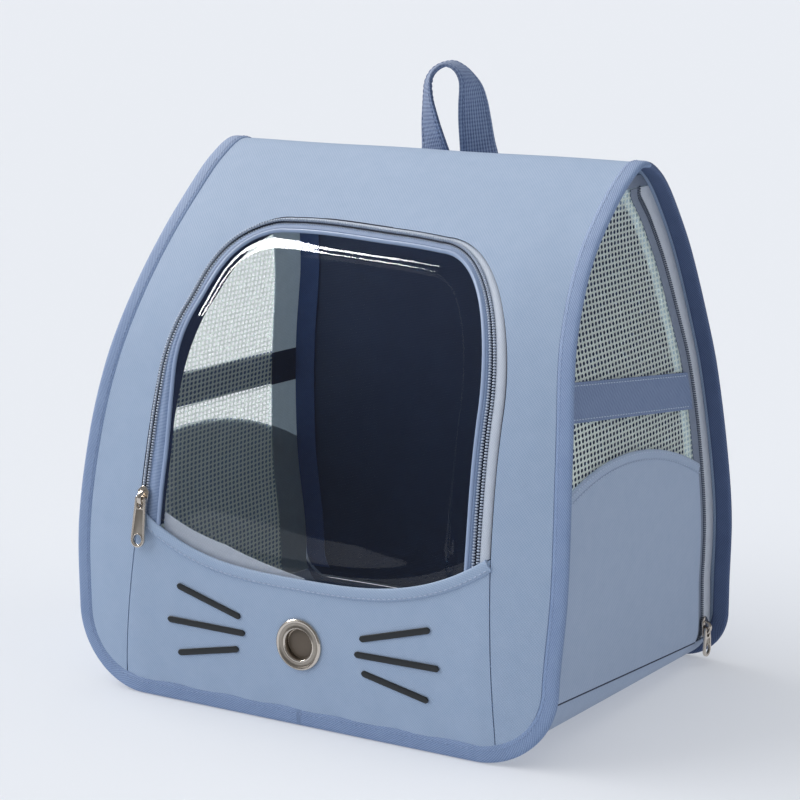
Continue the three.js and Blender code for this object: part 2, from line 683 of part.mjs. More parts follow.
// The frame of a piece on the front wall: across, up along the wall, and out of it.
function frontFrame(x, z) {
  const u = uAtHeight(z, false, x);
  const step = 0.002;
  const origin = wrapPoint(u, x, 0);
  const up = wrapPoint(u + step, x, 0).sub(origin).normalize();
  const beside = wrapPoint(u, x + 1, 0).sub(origin).normalize();
  const out = new THREE.Vector3().crossVectors(beside, up).normalize();
  const across = new THREE.Vector3().crossVectors(up, out);
  return new THREE.Matrix4().makeBasis(across, up, out).setPosition(origin);
}

function makeEyelet() {
  const { hole, barrel, flange } = EYELET;
  const ring = [
    [hole, -3.4], [barrel, -3.4], [barrel, GAP], [flange, GAP], [flange - 0.4, 1.1], [flange - 2.6, 2], [barrel, 2],
    [hole, 1],
  ];
  const profile = [...ring, ring[0]].map(([r, n]) => new THREE.Vector2(r, n));
  const frame = frontFrame(0, EYELET.height);
  const lathe = new THREE.LatheGeometry(profile, 20).rotateX(Math.PI / 2);
  addPiece("eyelet", geometryFrom(solidOf(lathe)).applyMatrix4(frame), METAL);
  const disc = new THREE.CylinderGeometry(hole - 2 * GAP, hole - 2 * GAP, 1, 20).rotateX(Math.PI / 2);
  disc.translate(0, 0, -2.4);
  addPiece("eyelet_disc", geometryFrom(solidOf(disc)).applyMatrix4(frame), DISC);
}

// Zip slider with its arched bridge, and the pull whose top bar turns under the bridge.
const SLIDER = { half: 4.4, top: 6.5, bottom: -6, plateLow: 0.8, plateHigh: 2, bridge: 3, bar: 3.6 };
const PULL = {
  thickness: 1.8, eyeHalf: 2.2, eyeTop: -0.9, eyeBottom: -6.3, topHalf: 4.2, endHalf: 5.2, holeRadius: 3.2,
};
function makeSlider(name, frame) {
  const plate = new THREE.Shape();
  plate.moveTo(-SLIDER.half, SLIDER.top - 2);
  plate.lineTo(-SLIDER.half + 1.4, SLIDER.bottom);
  plate.lineTo(SLIDER.half - 1.4, SLIDER.bottom);
  plate.lineTo(SLIDER.half, SLIDER.top - 2);
  plate.lineTo(SLIDER.half - 2, SLIDER.top);
  plate.lineTo(2 - SLIDER.half, SLIDER.top);
  const depth = SLIDER.plateHigh - SLIDER.plateLow;
  const body = new THREE.ExtrudeGeometry(plate, { depth, bevelEnabled: false });
  body.translate(0, 0, SLIDER.plateLow);
  const arch = new THREE.Shape();
  const foot = SLIDER.plateHigh - 0.4;
  arch.absellipse(0, foot, 5.2, 5, 0, Math.PI, false);
  arch.absellipse(0, foot, 3.7, 3.6, Math.PI, 0, true);
  const bridge = new THREE.ExtrudeGeometry(arch, { depth: SLIDER.bridge, bevelEnabled: false, curveSegments: 8 });
  bridge.rotateX(Math.PI / 2).rotateZ(Math.PI / 2);
  bridge.translate(-SLIDER.bridge / 2, 0, 0);
  addPiece(name, geometryFrom(solidOf(body).add(solidOf(bridge))).applyMatrix4(frame), METAL);
}

function makePull(name, frame, length) {
  const end = PULL.endHalf - length;
  const shape = new THREE.Shape();
  shape.moveTo(-PULL.topHalf, -1);
  shape.lineTo(-PULL.endHalf, end);
  shape.absarc(0, end, PULL.endHalf, Math.PI, 2 * Math.PI, false);
  shape.lineTo(PULL.topHalf, -1);
  shape.lineTo(PULL.topHalf - 1.6, -PULL.eyeTop);
  shape.lineTo(1.6 - PULL.topHalf, -PULL.eyeTop);
  const eye = new THREE.Path();
  eye.moveTo(-PULL.eyeHalf, PULL.eyeTop);
  eye.lineTo(PULL.eyeHalf, PULL.eyeTop);
  eye.lineTo(PULL.eyeHalf, PULL.eyeBottom + 1);
  eye.lineTo(0.8, PULL.eyeBottom);
  eye.lineTo(-0.8, PULL.eyeBottom);
  eye.lineTo(-PULL.eyeHalf, PULL.eyeBottom + 1);
  const hole = new THREE.Path();
  hole.absarc(0, end, PULL.holeRadius, 0, 2 * Math.PI, true);
  shape.holes.push(eye, hole);
  const settings = { depth: PULL.thickness, bevelEnabled: false, curveSegments: 7 };
  const plate = new THREE.ExtrudeGeometry(shape, settings);
  plate.translate(0, 0, SLIDER.bar - PULL.thickness / 2);
  addPiece(name, geometryFrom(solidOf(plate)).applyMatrix4(frame), METAL);
}

const FRONT_SLIDER = { x: -122.5, z: 125, pull: 32 };
const SIDE_SLIDER = { z: 22, lift: -0.1, pull: 20 };
function makeZipPulls() {
  const front = frontFrame(FRONT_SLIDER.x, FRONT_SLIDER.z);
  makeSlider("zip_slider", front);
  makePull("zip_pull", front, FRONT_SLIDER.pull);
  [["left", -1], ["right", 1]].forEach(([name, side]) => {
    const y = zipY(SIDE_SLIDER.z);
    const x = side * (sideX(y, SIDE_SLIDER.z) + SIDE_SLIDER.lift);
    const frame = new THREE.Matrix4().makeBasis(
      new THREE.Vector3(0, side, 0), new THREE.Vector3(0, 0, 1), new THREE.Vector3(side, 0, 0),
    );
    frame.setPosition(x, y, SIDE_SLIDER.z);
    makeSlider("side_slider_" + name, frame);
    makePull("side_pull_" + name, frame, SIDE_SLIDER.pull);
  });
}

// Grab handle: a webbing loop whose feet lie on the back slope; the band makes half a turn from foot to foot,
// slowly on the left leg and mostly below the top on the right one.
const HANDLE = { width: WEBBING, thickness: 2.4, seat: 0.8, steps: 48 };
const HANDLE_ROWS = [
  { x: -18, z: 303, rise: 0, turn: 0 },
  { x: -18, z: 310, rise: 0, turn: 0 },
  { x: -18, z: 316, rise: 0, turn: 0 },
  { x: -18.4, z: 318, rise: 5, turn: 4 },
  { x: -18.8, z: 318, rise: 14, turn: 10 },
  { x: -19.6, z: 318, rise: 19, turn: 18 },
  { x: -21.7, z: 318, rise: 29, turn: 28 },
  { x: -23.2, z: 318, rise: 38, turn: 36 },
  { x: -24.6, z: 318, rise: 51, turn: 47 },
  { x: -24.3, z: 318, rise: 60, turn: 52 },
  { x: -21.5, z: 318, rise: 66, turn: 55 },
  { x: -15.8, z: 318, rise: 71, turn: 62 },
  { x: -7.7, z: 318, rise: 73.5, turn: 70 },
  { x: -0.3, z: 318, rise: 71, turn: 78 },
  { x: 5.4, z: 318, rise: 65, turn: 86 },
  { x: 8.1, z: 318, rise: 58.5, turn: 98 },
  { x: 9.7, z: 318, rise: 49, turn: 110 },
  { x: 11.1, z: 318, rise: 37.5, turn: 119 },
  { x: 13.3, z: 318, rise: 22, turn: 130 },
  { x: 14.8, z: 318, rise: 14, turn: 146 },
  { x: 16.6, z: 318, rise: 5, turn: 168 },
  { x: 18, z: 316, rise: 0, turn: 180 },
  { x: 18, z: 310, rise: 0, turn: 180 },
  { x: 18, z: 303, rise: 0, turn: 180 },
].map((row, at) => ({ ...row, at }));
function makeHandle() {
  const seat = HANDLE.thickness / 2 + HANDLE.seat;
  const knots = HANDLE_ROWS.map((row) => {
    const foot = wrapPoint(uAtHeight(row.z, true, row.x), row.x, seat);
    return foot.add(new THREE.Vector3(0, 0, row.rise));
  });
  const curve = new THREE.CatmullRomCurve3(knots, false, "centripetal");
  const path = curve.getSpacedPoints(HANDLE.steps);
  const rings = path.map((centre, i) => {
    const at = curve.getUtoTmapping(i / HANDLE.steps) * (HANDLE_ROWS.length - 1);
    const turn = THREE.MathUtils.degToRad(lookup(HANDLE_ROWS, "at", "turn", at));
    const along = pathTangent(path, i);
    const wide = new THREE.Vector3(Math.cos(turn), -Math.sin(turn), 0);
    const across = wide.addScaledVector(along, -wide.dot(along)).normalize();
    const out = new THREE.Vector3().crossVectors(along, across);
    return strapRing(centre, across, out, HANDLE.width, HANDLE.thickness);
  });
  addPiece("grab_handle", loft(rings), WEBBING_CLOTH);
}

// Carrying straps: a pad and a webbing tail on each side of the back, through a plain adjuster.
const PAD_ROWS = [
  { z: 326, x: 62, out: 6.2, width: 52, thickness: 9 },
  { z: 312, x: 62, out: 6.6, width: 54, thickness: 11 },
  { z: 285, x: 63, out: 14, width: 58, thickness: 12 },
  { z: 240, x: 65, out: 26, width: 60, thickness: 12 },
  { z: 190, x: 68, out: 31, width: 60, thickness: 12 },
  { z: 150, x: 72, out: 27, width: 56, thickness: 11 },
  { z: 126, x: 75, out: 21, width: 42, thickness: 8 },
];
const TAIL_ROWS = [
  { z: 125.4, x: 75.1, out: 20.8 },
  { z: 105, x: 79, out: 16 },
  { z: 70, x: 88, out: 10 },
  { z: 40, x: 97, out: 5 },
  { z: 20, x: 103, out: 1.6 },
];
const ADJUSTER = { share: 0.3, width: 34, height: 20, thickness: 8, slotWidth: 26, slot: 3 };
const STRAP_STEPS = 16;

function strapPath(rows, side) {
  const knots = rows.map((row) => wrapPoint(uAtHeight(row.z, true, row.x), side * row.x, row.out));
  return new THREE.CatmullRomCurve3(knots, false, "centripetal");
}
function strapFrame(path, i) {
  const along = pathTangent(path, i);
  const across = new THREE.Vector3(1, 0, 0).addScaledVector(along, -along.x).normalize();
  return { along, across, out: new THREE.Vector3().crossVectors(along, across) };
}
// A padded ring: an oval with flat faces.
function padRing(centre, across, out, width, thickness) {
  const sides = 12;
  return Array.from({ length: sides }, (_, k) => {
    const turn = ((k + 0.5) / sides) * 2 * Math.PI;
    const oval = (value) => Math.sign(value) * Math.abs(value) ** 0.5;
    const a = (oval(Math.cos(turn)) * width) / 2;
    const b = (oval(Math.sin(turn)) * thickness) / 2;
    return centre.clone().addScaledVector(across, a).addScaledVector(out, b);
  });
}
function makeStrap(name, side) {
  const padPath = strapPath(PAD_ROWS, side).getPoints(STRAP_STEPS);
  const padRows = PAD_ROWS.map((row, i) => ({ ...row, place: i / (PAD_ROWS.length - 1) }));
  const pad = padPath.map((centre, i) => {
    const { across, out } = strapFrame(padPath, i);
    const place = i / STRAP_STEPS;
    const width = lookup(padRows, "place", "width", place);
    return padRing(centre, across, out, width, lookup(padRows, "place", "thickness", place));
  });
  addPiece("shoulder_pad_" + name, loft(pad), WEBBING_CLOTH);
  const tailCurve = strapPath(TAIL_ROWS, side);
  const tailPath = tailCurve.getSpacedPoints(STRAP_STEPS);
  const tail = tailPath.map((centre, i) => {
    const { across, out } = strapFrame(tailPath, i);
    return strapRing(centre, across, out, WEBBING, CLOTH);
  });
  addPiece("strap_webbing_" + name, loft(tail), WEBBING_CLOTH);
  const seat = Math.round(ADJUSTER.share * STRAP_STEPS);
  const { along, across, out } = strapFrame(tailPath, seat);
  const frame = new THREE.Matrix4().makeBasis(across, along.clone().negate(), out);
  frame.setPosition(tailPath[seat]);
  const block = new THREE.BoxGeometry(ADJUSTER.width, ADJUSTER.height, ADJUSTER.thickness);
  const slot = new THREE.BoxGeometry(ADJUSTER.slotWidth, ADJUSTER.height * 2, ADJUSTER.slot);
  const buckle = geometryFrom(solidOf(block).subtract(solidOf(slot)));
  addPiece("strap_adjuster_" + name, buckle.applyMatrix4(frame), BUCKLE);
}

makeWrapPanel();
makeLining();
makeBinding("binding_left", -1);
makeBinding("binding_right", 1);
makeBase();
makeFront();
makeSide("left", -1);
makeSide("right", 1);
makeZipPulls();
makeHandle();
makeStrap("left", -1);
makeStrap("right", 1);

// The origin is the middle of the box's underside.
const box = new THREE.Box3().setFromObject(carrier, true);
const middle = box.getCenter(new THREE.Vector3());
carrier.children.forEach((mesh) => mesh.geometry.translate(-middle.x, -middle.y, -box.min.z));

export default carrier;
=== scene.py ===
# %% [markdown]
# # Pet carrier backpack: from plain solids to cloth, net and clear film
#
# The frame holds the carrier as plain solids. This lesson dresses them: one long wrap panel of stiff
# twill, a clear arched door with its zip, net sides, a bib with a whisker print, and carrying straps.
# Each step says what the piece is, how it could be made, and why it is made this way here.

# %% Load the frame, with a helper for a part's box
import math

import bmesh
import bpy
import numpy as np
from mathutils import Matrix, Vector


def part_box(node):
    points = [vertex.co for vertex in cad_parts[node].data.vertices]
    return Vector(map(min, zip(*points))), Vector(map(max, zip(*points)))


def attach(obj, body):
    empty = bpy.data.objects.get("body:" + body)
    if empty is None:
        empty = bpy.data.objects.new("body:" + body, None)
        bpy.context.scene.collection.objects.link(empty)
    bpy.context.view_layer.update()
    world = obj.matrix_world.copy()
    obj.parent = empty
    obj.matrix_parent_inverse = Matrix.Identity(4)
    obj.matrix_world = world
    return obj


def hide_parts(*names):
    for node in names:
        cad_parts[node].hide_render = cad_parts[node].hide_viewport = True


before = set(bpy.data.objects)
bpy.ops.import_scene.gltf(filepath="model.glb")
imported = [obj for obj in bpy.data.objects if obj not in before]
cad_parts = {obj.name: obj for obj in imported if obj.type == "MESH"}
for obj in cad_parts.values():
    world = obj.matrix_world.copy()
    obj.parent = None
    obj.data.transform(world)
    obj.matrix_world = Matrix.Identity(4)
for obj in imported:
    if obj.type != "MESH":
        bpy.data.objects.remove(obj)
scene = bpy.context.scene
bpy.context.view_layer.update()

# %% [markdown]
# ## The pattern of the carrier
#
# A sewn bag is drawn as a pattern. The wrap's path is one smooth curve seen from the side: up the front,
# over the ridge and down the back. A table gives half its width at each height, and another how far its
# middle bows out. A point of the cloth is then (way along the path, place across it, height off it), so
# each panel, tape and seam can be written as a few numbers in the pattern and still lie on the bag.
# Pattern values are millimetres with the front towards -Y; the last step of each mesh turns them to
# metres in the frame.

# %% The wrap's path and its width
FLOOR = -5.0
WRAP_ROWS = np.array((
    (-113.5, FLOOR), (-115, 30), (-114.5, 60), (-111, 100), (-105, 140), (-96.5, 180), (-83, 222),
    (-66, 255), (-41, 288), (-13, 314), (11, 331.5), (35, 341), (58, 332.5), (79, 313), (98, 285),
    (109, 252), (114.5, 220), (119, 180), (124, 140), (129, 100), (133.5, 60), (135.5, 30), (134, FLOOR),
))
WIDTH_ROWS = (
    (FLOOR, 176), (47, 176.5), (100, 179), (150, 176.5), (200, 171), (250, 162), (295, 156), (340, 155),
)
FRONT_BOW = ((FLOOR, 6.5), (60, 7.5), (100, 7.5), (150, 7), (220, 6), (270, 4), (310, 1), (330, 0))
BACK_BOW = ((FLOOR, 2), (60, 5), (180, 6), (260, 3), (320, 0))
FLANK = {"from": 0.7, "power": 1.3}
BACK_POWER = 4
FRONT_CORNER = 52.0
BACK_CORNER = 34.0
MAT_FRONT = -104.0
TO_FRAME = np.array((0.0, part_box("floor_mat")[0].y * 1000 - MAT_FRONT, -FLOOR))


def catmull_rom(rows, per_span):
    """Points along a smooth curve through the rows."""
    ends = np.vstack((rows[:1], rows, rows[-1:]))
    t = np.linspace(0, 1, per_span, endpoint=False)[:, None]
    spans = []
    for before, start, end, after in zip(ends, ends[1:], ends[2:], ends[3:]):
        leave = (end - before) / 2
        arrive = (after - start) / 2
        curved = (3 * (end - start) - 2 * leave - arrive) * t**2
        spans.append(start + leave * t + curved + (2 * (start - end) + leave + arrive) * t**3)
    return np.vstack((*spans, rows[-1:]))


def run_lengths(points):
    """The length along a line of points, up to each of them."""
    return np.concatenate(([0.0], np.cumsum(np.linalg.norm(np.diff(points, axis=0), axis=1))))


def table_value(rows, at):
    """A smooth value between the rows of a table of (key, value)."""
    keys, values = np.array(rows, float).T
    slopes = np.empty_like(values)
    slopes[1:-1] = (values[2:] - values[:-2]) / (keys[2:] - keys[:-2])
    slopes[0] = (values[1] - values[0]) / (keys[1] - keys[0])
    slopes[-1] = (values[-1] - values[-2]) / (keys[-1] - keys[-2])
    place = np.clip(at, keys[0], keys[-1])
    i = np.clip(np.searchsorted(keys, place) - 1, 0, len(keys) - 2)
    span = keys[i + 1] - keys[i]
    t = (place - keys[i]) / span
    start = values[i] * (1 + 2 * t) * (1 - t) ** 2 + slopes[i] * span * t * (1 - t) ** 2
    return start + values[i + 1] * t * t * (3 - 2 * t) + slopes[i + 1] * span * t * t * (t - 1)


PATH = catmull_rom(WRAP_ROWS, 60)
PATH_RUN = run_lengths(PATH)
PATH_WAY = np.gradient(PATH, PATH_RUN, axis=0)
PATH_WAY /= np.linalg.norm(PATH_WAY, axis=1)[:, None]
RIDGE_RUN = PATH_RUN[PATH[:, 1].argmax()]


def half_width(z):
    return table_value(WIDTH_ROWS, z)


def path_height(run):
    return np.interp(run, PATH_RUN, PATH[:, 1])


def wrap_point(run, x, n):
    """A point of the wrap: run along its path, x across it and n off its outer face."""
    y, z = (np.interp(run, PATH_RUN, PATH[:, k]) for k in (0, 1))
    way_y, way_z = (np.interp(run, PATH_RUN, PATH_WAY[:, k]) for k in (0, 1))
    share = np.minimum(1, np.abs(x) / half_width(z))
    slope = np.maximum(0, (share - FLANK["from"]) / (1 - FLANK["from"]))
    front = table_value(FRONT_BOW, z) * (1 - slope ** FLANK["power"])
    back = table_value(BACK_BOW, z) * (1 - share**BACK_POWER)
    out = n + np.where(run < RIDGE_RUN, front, back)
    return np.stack(np.broadcast_arrays(x, y - way_z * out, z + way_y * out), axis=-1)


def run_at(z, back=False, x=0.0, n=0.0):
    """The way along the path at which the wrap has the height z."""
    z, x, n = np.broadcast_arrays(np.asarray(z, float), x, n)
    low = np.full(z.shape, PATH_RUN[-1] if back else 0.0)
    high = np.full(z.shape, RIDGE_RUN)
    for _ in range(36):
        middle = (low + high) / 2
        under = wrap_point(middle, x, n)[..., 2] < z
        low = np.where(under, middle, low)
        high = np.where(under, high, middle)
    return (low + high) / 2


def front_point(x, z, n):
    """A point of the front wall from its place in the front view."""
    return wrap_point(run_at(z, False, x, n), x, n)


def edge_x(z, back, inset):
    """Half the panel's width at a height, inset from its edge, with the rounded lower corners."""
    radius = np.where(back, BACK_CORNER, FRONT_CORNER)
    below = FLOOR + radius - z
    inner = np.sqrt(np.maximum(0, (radius - inset) ** 2 - np.maximum(below, 0) ** 2))
    return np.where(below <= 0, half_width(z) - inset, half_width(FLOOR + radius) - radius + inner)


print("wrap path: %.0f mm long, ridge after %.0f mm" % (PATH_RUN[-1], RIDGE_RUN))

# %% [markdown]
# ## Meshes from grids and rings
#
# A panel is a grid with two layers and a closed rim; a tape, strap or tube is a loft through rings. Both
# could be made with modifiers, but written as grids they also get a flat UV map in real metres, which a
# weave needs to follow the cloth. Normals are turned outwards at the end, and sharp rims stay sharp.

# %% Mesh helpers


def make_piece(name, points, faces, uv=None, sharp=40):
    """A smooth mesh from pattern points in mm, with its normals outwards and its sharp rims kept."""
    mesh = bpy.data.meshes.new(name)
    mesh.from_pydata((np.asarray(points) + TO_FRAME) / 1000, [], [tuple(face) for face in faces])
    if uv is not None:
        corner = np.empty(len(mesh.loops), np.int32)
        mesh.loops.foreach_get("vertex_index", corner)
        mesh.uv_layers.new(name="weave").data.foreach_set("uv", (np.asarray(uv)[corner] / 1000).ravel())
    turned = bmesh.new()
    turned.from_mesh(mesh)
    bmesh.ops.remove_doubles(turned, verts=turned.verts, dist=1e-7)
    bmesh.ops.recalc_face_normals(turned, faces=turned.faces)
    turned.to_mesh(mesh)
    turned.free()
    mesh.shade_smooth()
    mesh.set_sharp_from_angle(angle=math.radians(sharp))
    piece = bpy.data.objects.new(name, mesh)
    scene.collection.objects.link(piece)
    return piece


def quads(index):
    """The four-cornered faces of a grid of point numbers."""
    return np.stack((index[:-1, :-1], index[1:, :-1], index[1:, 1:], index[:-1, 1:]), -1).reshape(-1, 4)


def make_slab(name, outer, inner, uv):
    """A closed sheet from the grids of its two faces and the flat place of each grid point."""
    rows, columns = outer.shape[:2]
    front = np.arange(rows * columns).reshape(rows, columns)
    back = front + rows * columns
    rim = np.concatenate((front[:-1, 0], front[-1, :-1], front[:0:-1, -1], front[0, :0:-1], front[:1, 0]))
    walls = quads(np.stack((rim, rim + rows * columns), 1))
    faces = np.concatenate((quads(front), quads(back), walls))
    points = np.concatenate((outer.reshape(-1, 3), inner.reshape(-1, 3)))
    return make_piece(name, points, faces, np.tile(np.asarray(uv).reshape(-1, 2), (2, 1)))


def make_loft(name, rings, closed=False, sharp=40):
    """A tube through rings of points; its UV runs round the ring and along the path."""
    count, sides = rings.shape[:2]
    around = np.arange(sides + 1) % sides
    along = np.arange(count + 1 if closed else count) % count
    faces = [tuple(face) for face in quads(along[:, None] * sides + around[None, :])]
    if not closed:
        faces += [tuple(range(sides)), tuple(range((count - 1) * sides, count * sides))]
    girth = run_lengths(rings[0])
    length = run_lengths(rings.mean(axis=1))
    uv = np.stack(np.meshgrid(length, girth, indexing="ij"), -1)[..., ::-1].reshape(-1, 2)
    return make_piece(name, rings.reshape(-1, 3), faces, uv, sharp)


def unit(vectors):
    return vectors / np.linalg.norm(vectors, axis=-1, keepdims=True)


def path_ways(path, closed=False):
    """The direction of a line of points at each of them."""
    if closed:
        return unit(np.roll(path, -1, 0) - np.roll(path, 1, 0))
    return unit(np.gradient(path, axis=0))


def oval(width, thickness, sides, power=0.5):
    """The outline of a flat oval: a low power gives fuller corners."""
    turn = (np.arange(sides) + 0.5) / sides * 2 * np.pi
    shape = np.stack((np.cos(turn), np.sin(turn)), -1)
    return np.sign(shape) * np.abs(shape) ** power * (width / 2, thickness / 2)


def ring_path(path, across, out, outline):
    """Rings that carry an outline (or one for each point) along a path."""
    a = outline[..., 0, None] * across[:, None, :]
    b = outline[..., 1, None] * out[:, None, :]
    return path[:, None, :] + a + b


def settle(piece):
    """The piece as a plain mesh, with its modifiers done."""
    graph = bpy.context.evaluated_depsgraph_get()
    shown = piece.evaluated_get(graph)
    mesh = bpy.data.meshes.new_from_object(shown, preserve_all_data_layers=True, depsgraph=graph)
    old = piece.data
    piece.modifiers.clear()
    piece.data = mesh
    bpy.data.meshes.remove(old)
    mesh.name = piece.name
    return piece


def cut_out(piece, points, faces):
    """Takes a closed shape out of a piece."""
    tool = make_piece("cutter", points, faces)
    boolean = piece.modifiers.new("cut", "BOOLEAN")
    boolean.object = tool
    boolean.solver = "EXACT"
    settle(piece)
    bpy.data.objects.remove(tool)
    piece.data.set_sharp_from_angle(angle=math.radians(40))
    return piece


def front_prism(outline, near=20.0, far=-170.0):
    """A prism through the front wall from an outline drawn in the front view."""
    flat = np.asarray(outline)
    count = len(flat)
    sides = [np.stack((flat[:, 0], np.full(count, y), flat[:, 1]), -1) for y in (near, far)]
    ring = np.stack((np.arange(count + 1) % count, np.arange(count + 1) % count + count), 1)
    faces = [tuple(face) for face in quads(ring)]
    return np.concatenate(sides), faces + [tuple(range(count)), tuple(range(count, 2 * count))]


def dress(piece, material, slot, *nodes, body="carrier"):
    """Paints a piece, ties it to its body and lets it stand for its CAD nodes."""
    piece.data.materials.clear()
    piece.data.materials.append(material)
    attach(piece, body)
    if nodes:
        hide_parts(*nodes)
    return piece


print("mesh helpers ready")

# %% [markdown]
# ## Materials
#
# Each material is named for what it is made of. The weaves are drawn in millimetres on the pieces' own UV
# maps: two crossed waves give the threads, and a soft noise gives the uneven dye that keeps a large panel
# from looking like plastic. The clear film could be glass, but glass keeps lamps from lighting the cabin,
# so the film lets most light straight through and keeps only its gloss.

# %% Material helpers


def linear(hex_text):
    """A hex colour as the linear RGBA that shaders use."""
    parts = [int(hex_text[k:k + 2], 16) / 255 for k in (1, 3, 5)]
    return (*(c / 12.92 if c <= 0.04045 else ((c + 0.055) / 1.055) ** 2.4 for c in parts), 1.0)


def add_node(tree, kind, inputs=None, **settings):
    """One node with its settings; an input is a value or the output that it is linked to."""
    node = tree.nodes.new(kind)
    for key, value in settings.items():
        setattr(node, key, value)
    for key, value in (inputs or {}).items():
        if isinstance(value, bpy.types.NodeSocket):
            tree.links.new(value, node.inputs[key])
        else:
            node.inputs[key].default_value = value
    return node


def plain_material(name, base, roughness, **values):
    """A material with uniform values on the shader's own sockets."""
    material = bpy.data.materials.new(name)
    material.use_nodes = True
    shader = material.node_tree.nodes["Principled BSDF"]
    shader.inputs["Base Color"].default_value = linear(base)
    shader.inputs["Roughness"].default_value = roughness
    for key, value in values.items():
        shader.inputs[key.replace("_", " ")].default_value = value
    return material


def wave_scale(pitch_mm):
    """The Wave Texture scale that repeats every pitch, on coordinates in metres."""
    return 2 * math.pi / (20 * pitch_mm / 1000)


def woven_material(name, light, dark, roughness, pitch, turn, depth, cross=1.0, mottle=12.0, **values):
    """Threads at a pitch and a turn, crossed by a second set, with uneven dye at the mottle's size in mm."""
    material = plain_material(name, light, roughness, **values)
    tree = material.node_tree
    shader = tree.nodes["Principled BSDF"]
    place = add_node(tree, "ShaderNodeUVMap", uv_map="weave")
    turned = add_node(tree, "ShaderNodeMapping", {
        "Vector": place.outputs["UV"], "Rotation": (0, 0, math.radians(turn)),
    })
    warp = add_node(tree, "ShaderNodeTexWave", {
        "Vector": turned.outputs["Vector"], "Scale": wave_scale(pitch), "Distortion": 0.6, "Detail": 1.0,
        "Detail Scale": 2.0,
    }, bands_direction="X")
    weft = add_node(tree, "ShaderNodeTexWave", {
        "Vector": turned.outputs["Vector"], "Scale": wave_scale(pitch * 1.35), "Distortion": 0.8,
        "Detail": 1.0, "Detail Scale": 2.0,
    }, bands_direction="Y")
    threads = add_node(tree, "ShaderNodeMix", {
        "Factor": 0.5 * cross, "A": warp.outputs["Fac"], "B": weft.outputs["Fac"],
    }, data_type="FLOAT")
    dye = add_node(tree, "ShaderNodeTexNoise", {
        "Vector": place.outputs["UV"], "Scale": 1000 / mottle, "Detail": 4.0, "Roughness": 0.7,
    })
    shade = add_node(tree, "ShaderNodeMix", {
        "Factor": 0.4, "A": threads.outputs["Result"], "B": dye.outputs["Fac"],
    }, data_type="FLOAT")
    tone = add_node(tree, "ShaderNodeValToRGB", {"Fac": shade.outputs["Result"]})
    tone.color_ramp.elements[0].position = 0.2
    tone.color_ramp.elements[0].color = linear(dark)
    tone.color_ramp.elements[1].position = 0.75
    tone.color_ramp.elements[1].color = linear(light)
    bump = add_node(tree, "ShaderNodeBump", {
        "Height": threads.outputs["Result"], "Distance": depth / 1000, "Strength": 0.6,
    })
    tree.links.new(tone.outputs["Color"], shader.inputs["Base Color"])
    tree.links.new(bump.outputs["Normal"], shader.inputs["Normal"])
    return material


print("material helpers ready")

# %% The carrier's materials
# Stiff coated twill in pale steel blue: fine diagonal threads, dull with a soft sheen.
SHELL = woven_material("shell_twill", "#a2b3cc", "#8da3c0", 0.78, 1.1, 48, 0.12, Specular_IOR_Level=0.25)
POCKET = woven_material("pocket_twill", "#9dacc3", "#879ab6", 0.78, 1.1, 48, 0.12, Sheen_Weight=0.1)
# Folded binding tape: a coarser and darker twill whose diagonal shows.
BINDING_TAPE = woven_material("binding_twill", "#8ba0c2", "#6a80a8", 0.8, 1.2, 35, 0.25, 0.3, 20.0)
# Behind the ridge the tape is a darker copy: painted shade for the side that faces away from the lamps.
REAR_TAPE_PAINTED_SHADE = woven_material("rear_binding_painted_shade_twill", "#5a6d92", "#3c4c70", 0.8, 1.2, 35, 0.25, 0.3, 20.0)
# Webbing: ribs along a narrow band, slate blue, crossed by fine threads.
WEBBING = woven_material("ribbed_webbing", "#8496b6", "#4c5d82", 0.82, 1.9, 0, 0.5, 0.7, 9.0)
BAND_CLOTH = woven_material("band_webbing", "#7687a6", "#5b6d8f", 0.85, 1.9, 40, 0.35, 0.5, 9.0)
# Fine tape of the zips, pale and blue on the door and dark on the sides, and the strip behind the side zip.
ZIP_TAPE = woven_material("zip_tape_cloth", "#c4ccd9", "#a9b4c5", 0.8, 0.8, 60, 0.15, 1.0, 6.0)
INNER_TAPE = woven_material("blue_zip_tape", "#8ea1c0", "#6b80a4", 0.8, 0.8, 60, 0.15, 1.0, 6.0)
STRIP = woven_material("grey_strip_cloth", "#d0d6e0", "#b0b9c7", 0.7, 0.8, 60, 0.15, 1.0, 6.0)
SIDE_TAPE = woven_material("dark_zip_tape", "#7f899c", "#5f6a7d", 0.7, 0.8, 60, 0.15, 1.0, 6.0)
# Smooth lining: nearly black, with a faint gloss that shows its slow waves.
LINING = woven_material("navy_lining", "#31456a", "#1f3052", 0.55, 0.9, 0, 0.06, 1.0, 30.0)
# Seam tapes inside the cabin: navy along the front, blue beside the back wall and grey behind the net.
NAVY_TAPE = woven_material("navy_seam_tape", "#2c3c60", "#1a2644", 0.75, 0.8, 45, 0.12, 1.0, 8.0)
WALL_TAPE = woven_material("blue_wall_tape", "#4a659c", "#334b7b", 0.75, 0.8, 45, 0.12, 1.0, 8.0)
# The grey tape has a painted glow: a little emission stands in for daylight through the thin side behind it.
GLOW_PAINTED_TAPE = woven_material(
    "grey_seam_tape_painted_glow", "#c6d2da", "#a3b2bd", 0.8, 0.8, 0, 0.12, 1.0, 8.0,
    Emission_Color=linear("#9db2bf"), Emission_Strength=0.2,
)
LOW_TAPE = woven_material("dark_seam_tape", "#aab8c0", "#8d9ca6", 0.8, 0.8, 0, 0.12, 1.0, 8.0)
# Pad cloth: a plain weave, so that the stuffed shape shows more than the threads.
PAD_CLOTH = woven_material("pad_cloth", "#8496b7", "#637799", 0.85, 1.3, 45, 0.2)
# Net: light passes the thin threads, so they light up against the day and dim against the dark cabin; a
# faint emission adds a painted glow.
NET = plain_material("polyester_net_painted_glow", "#eef5f1", 0.75, Transmission_Weight=0.66, IOR=1.1,
                     Emission_Color=linear("#dfeae8"), Emission_Strength=0.03)
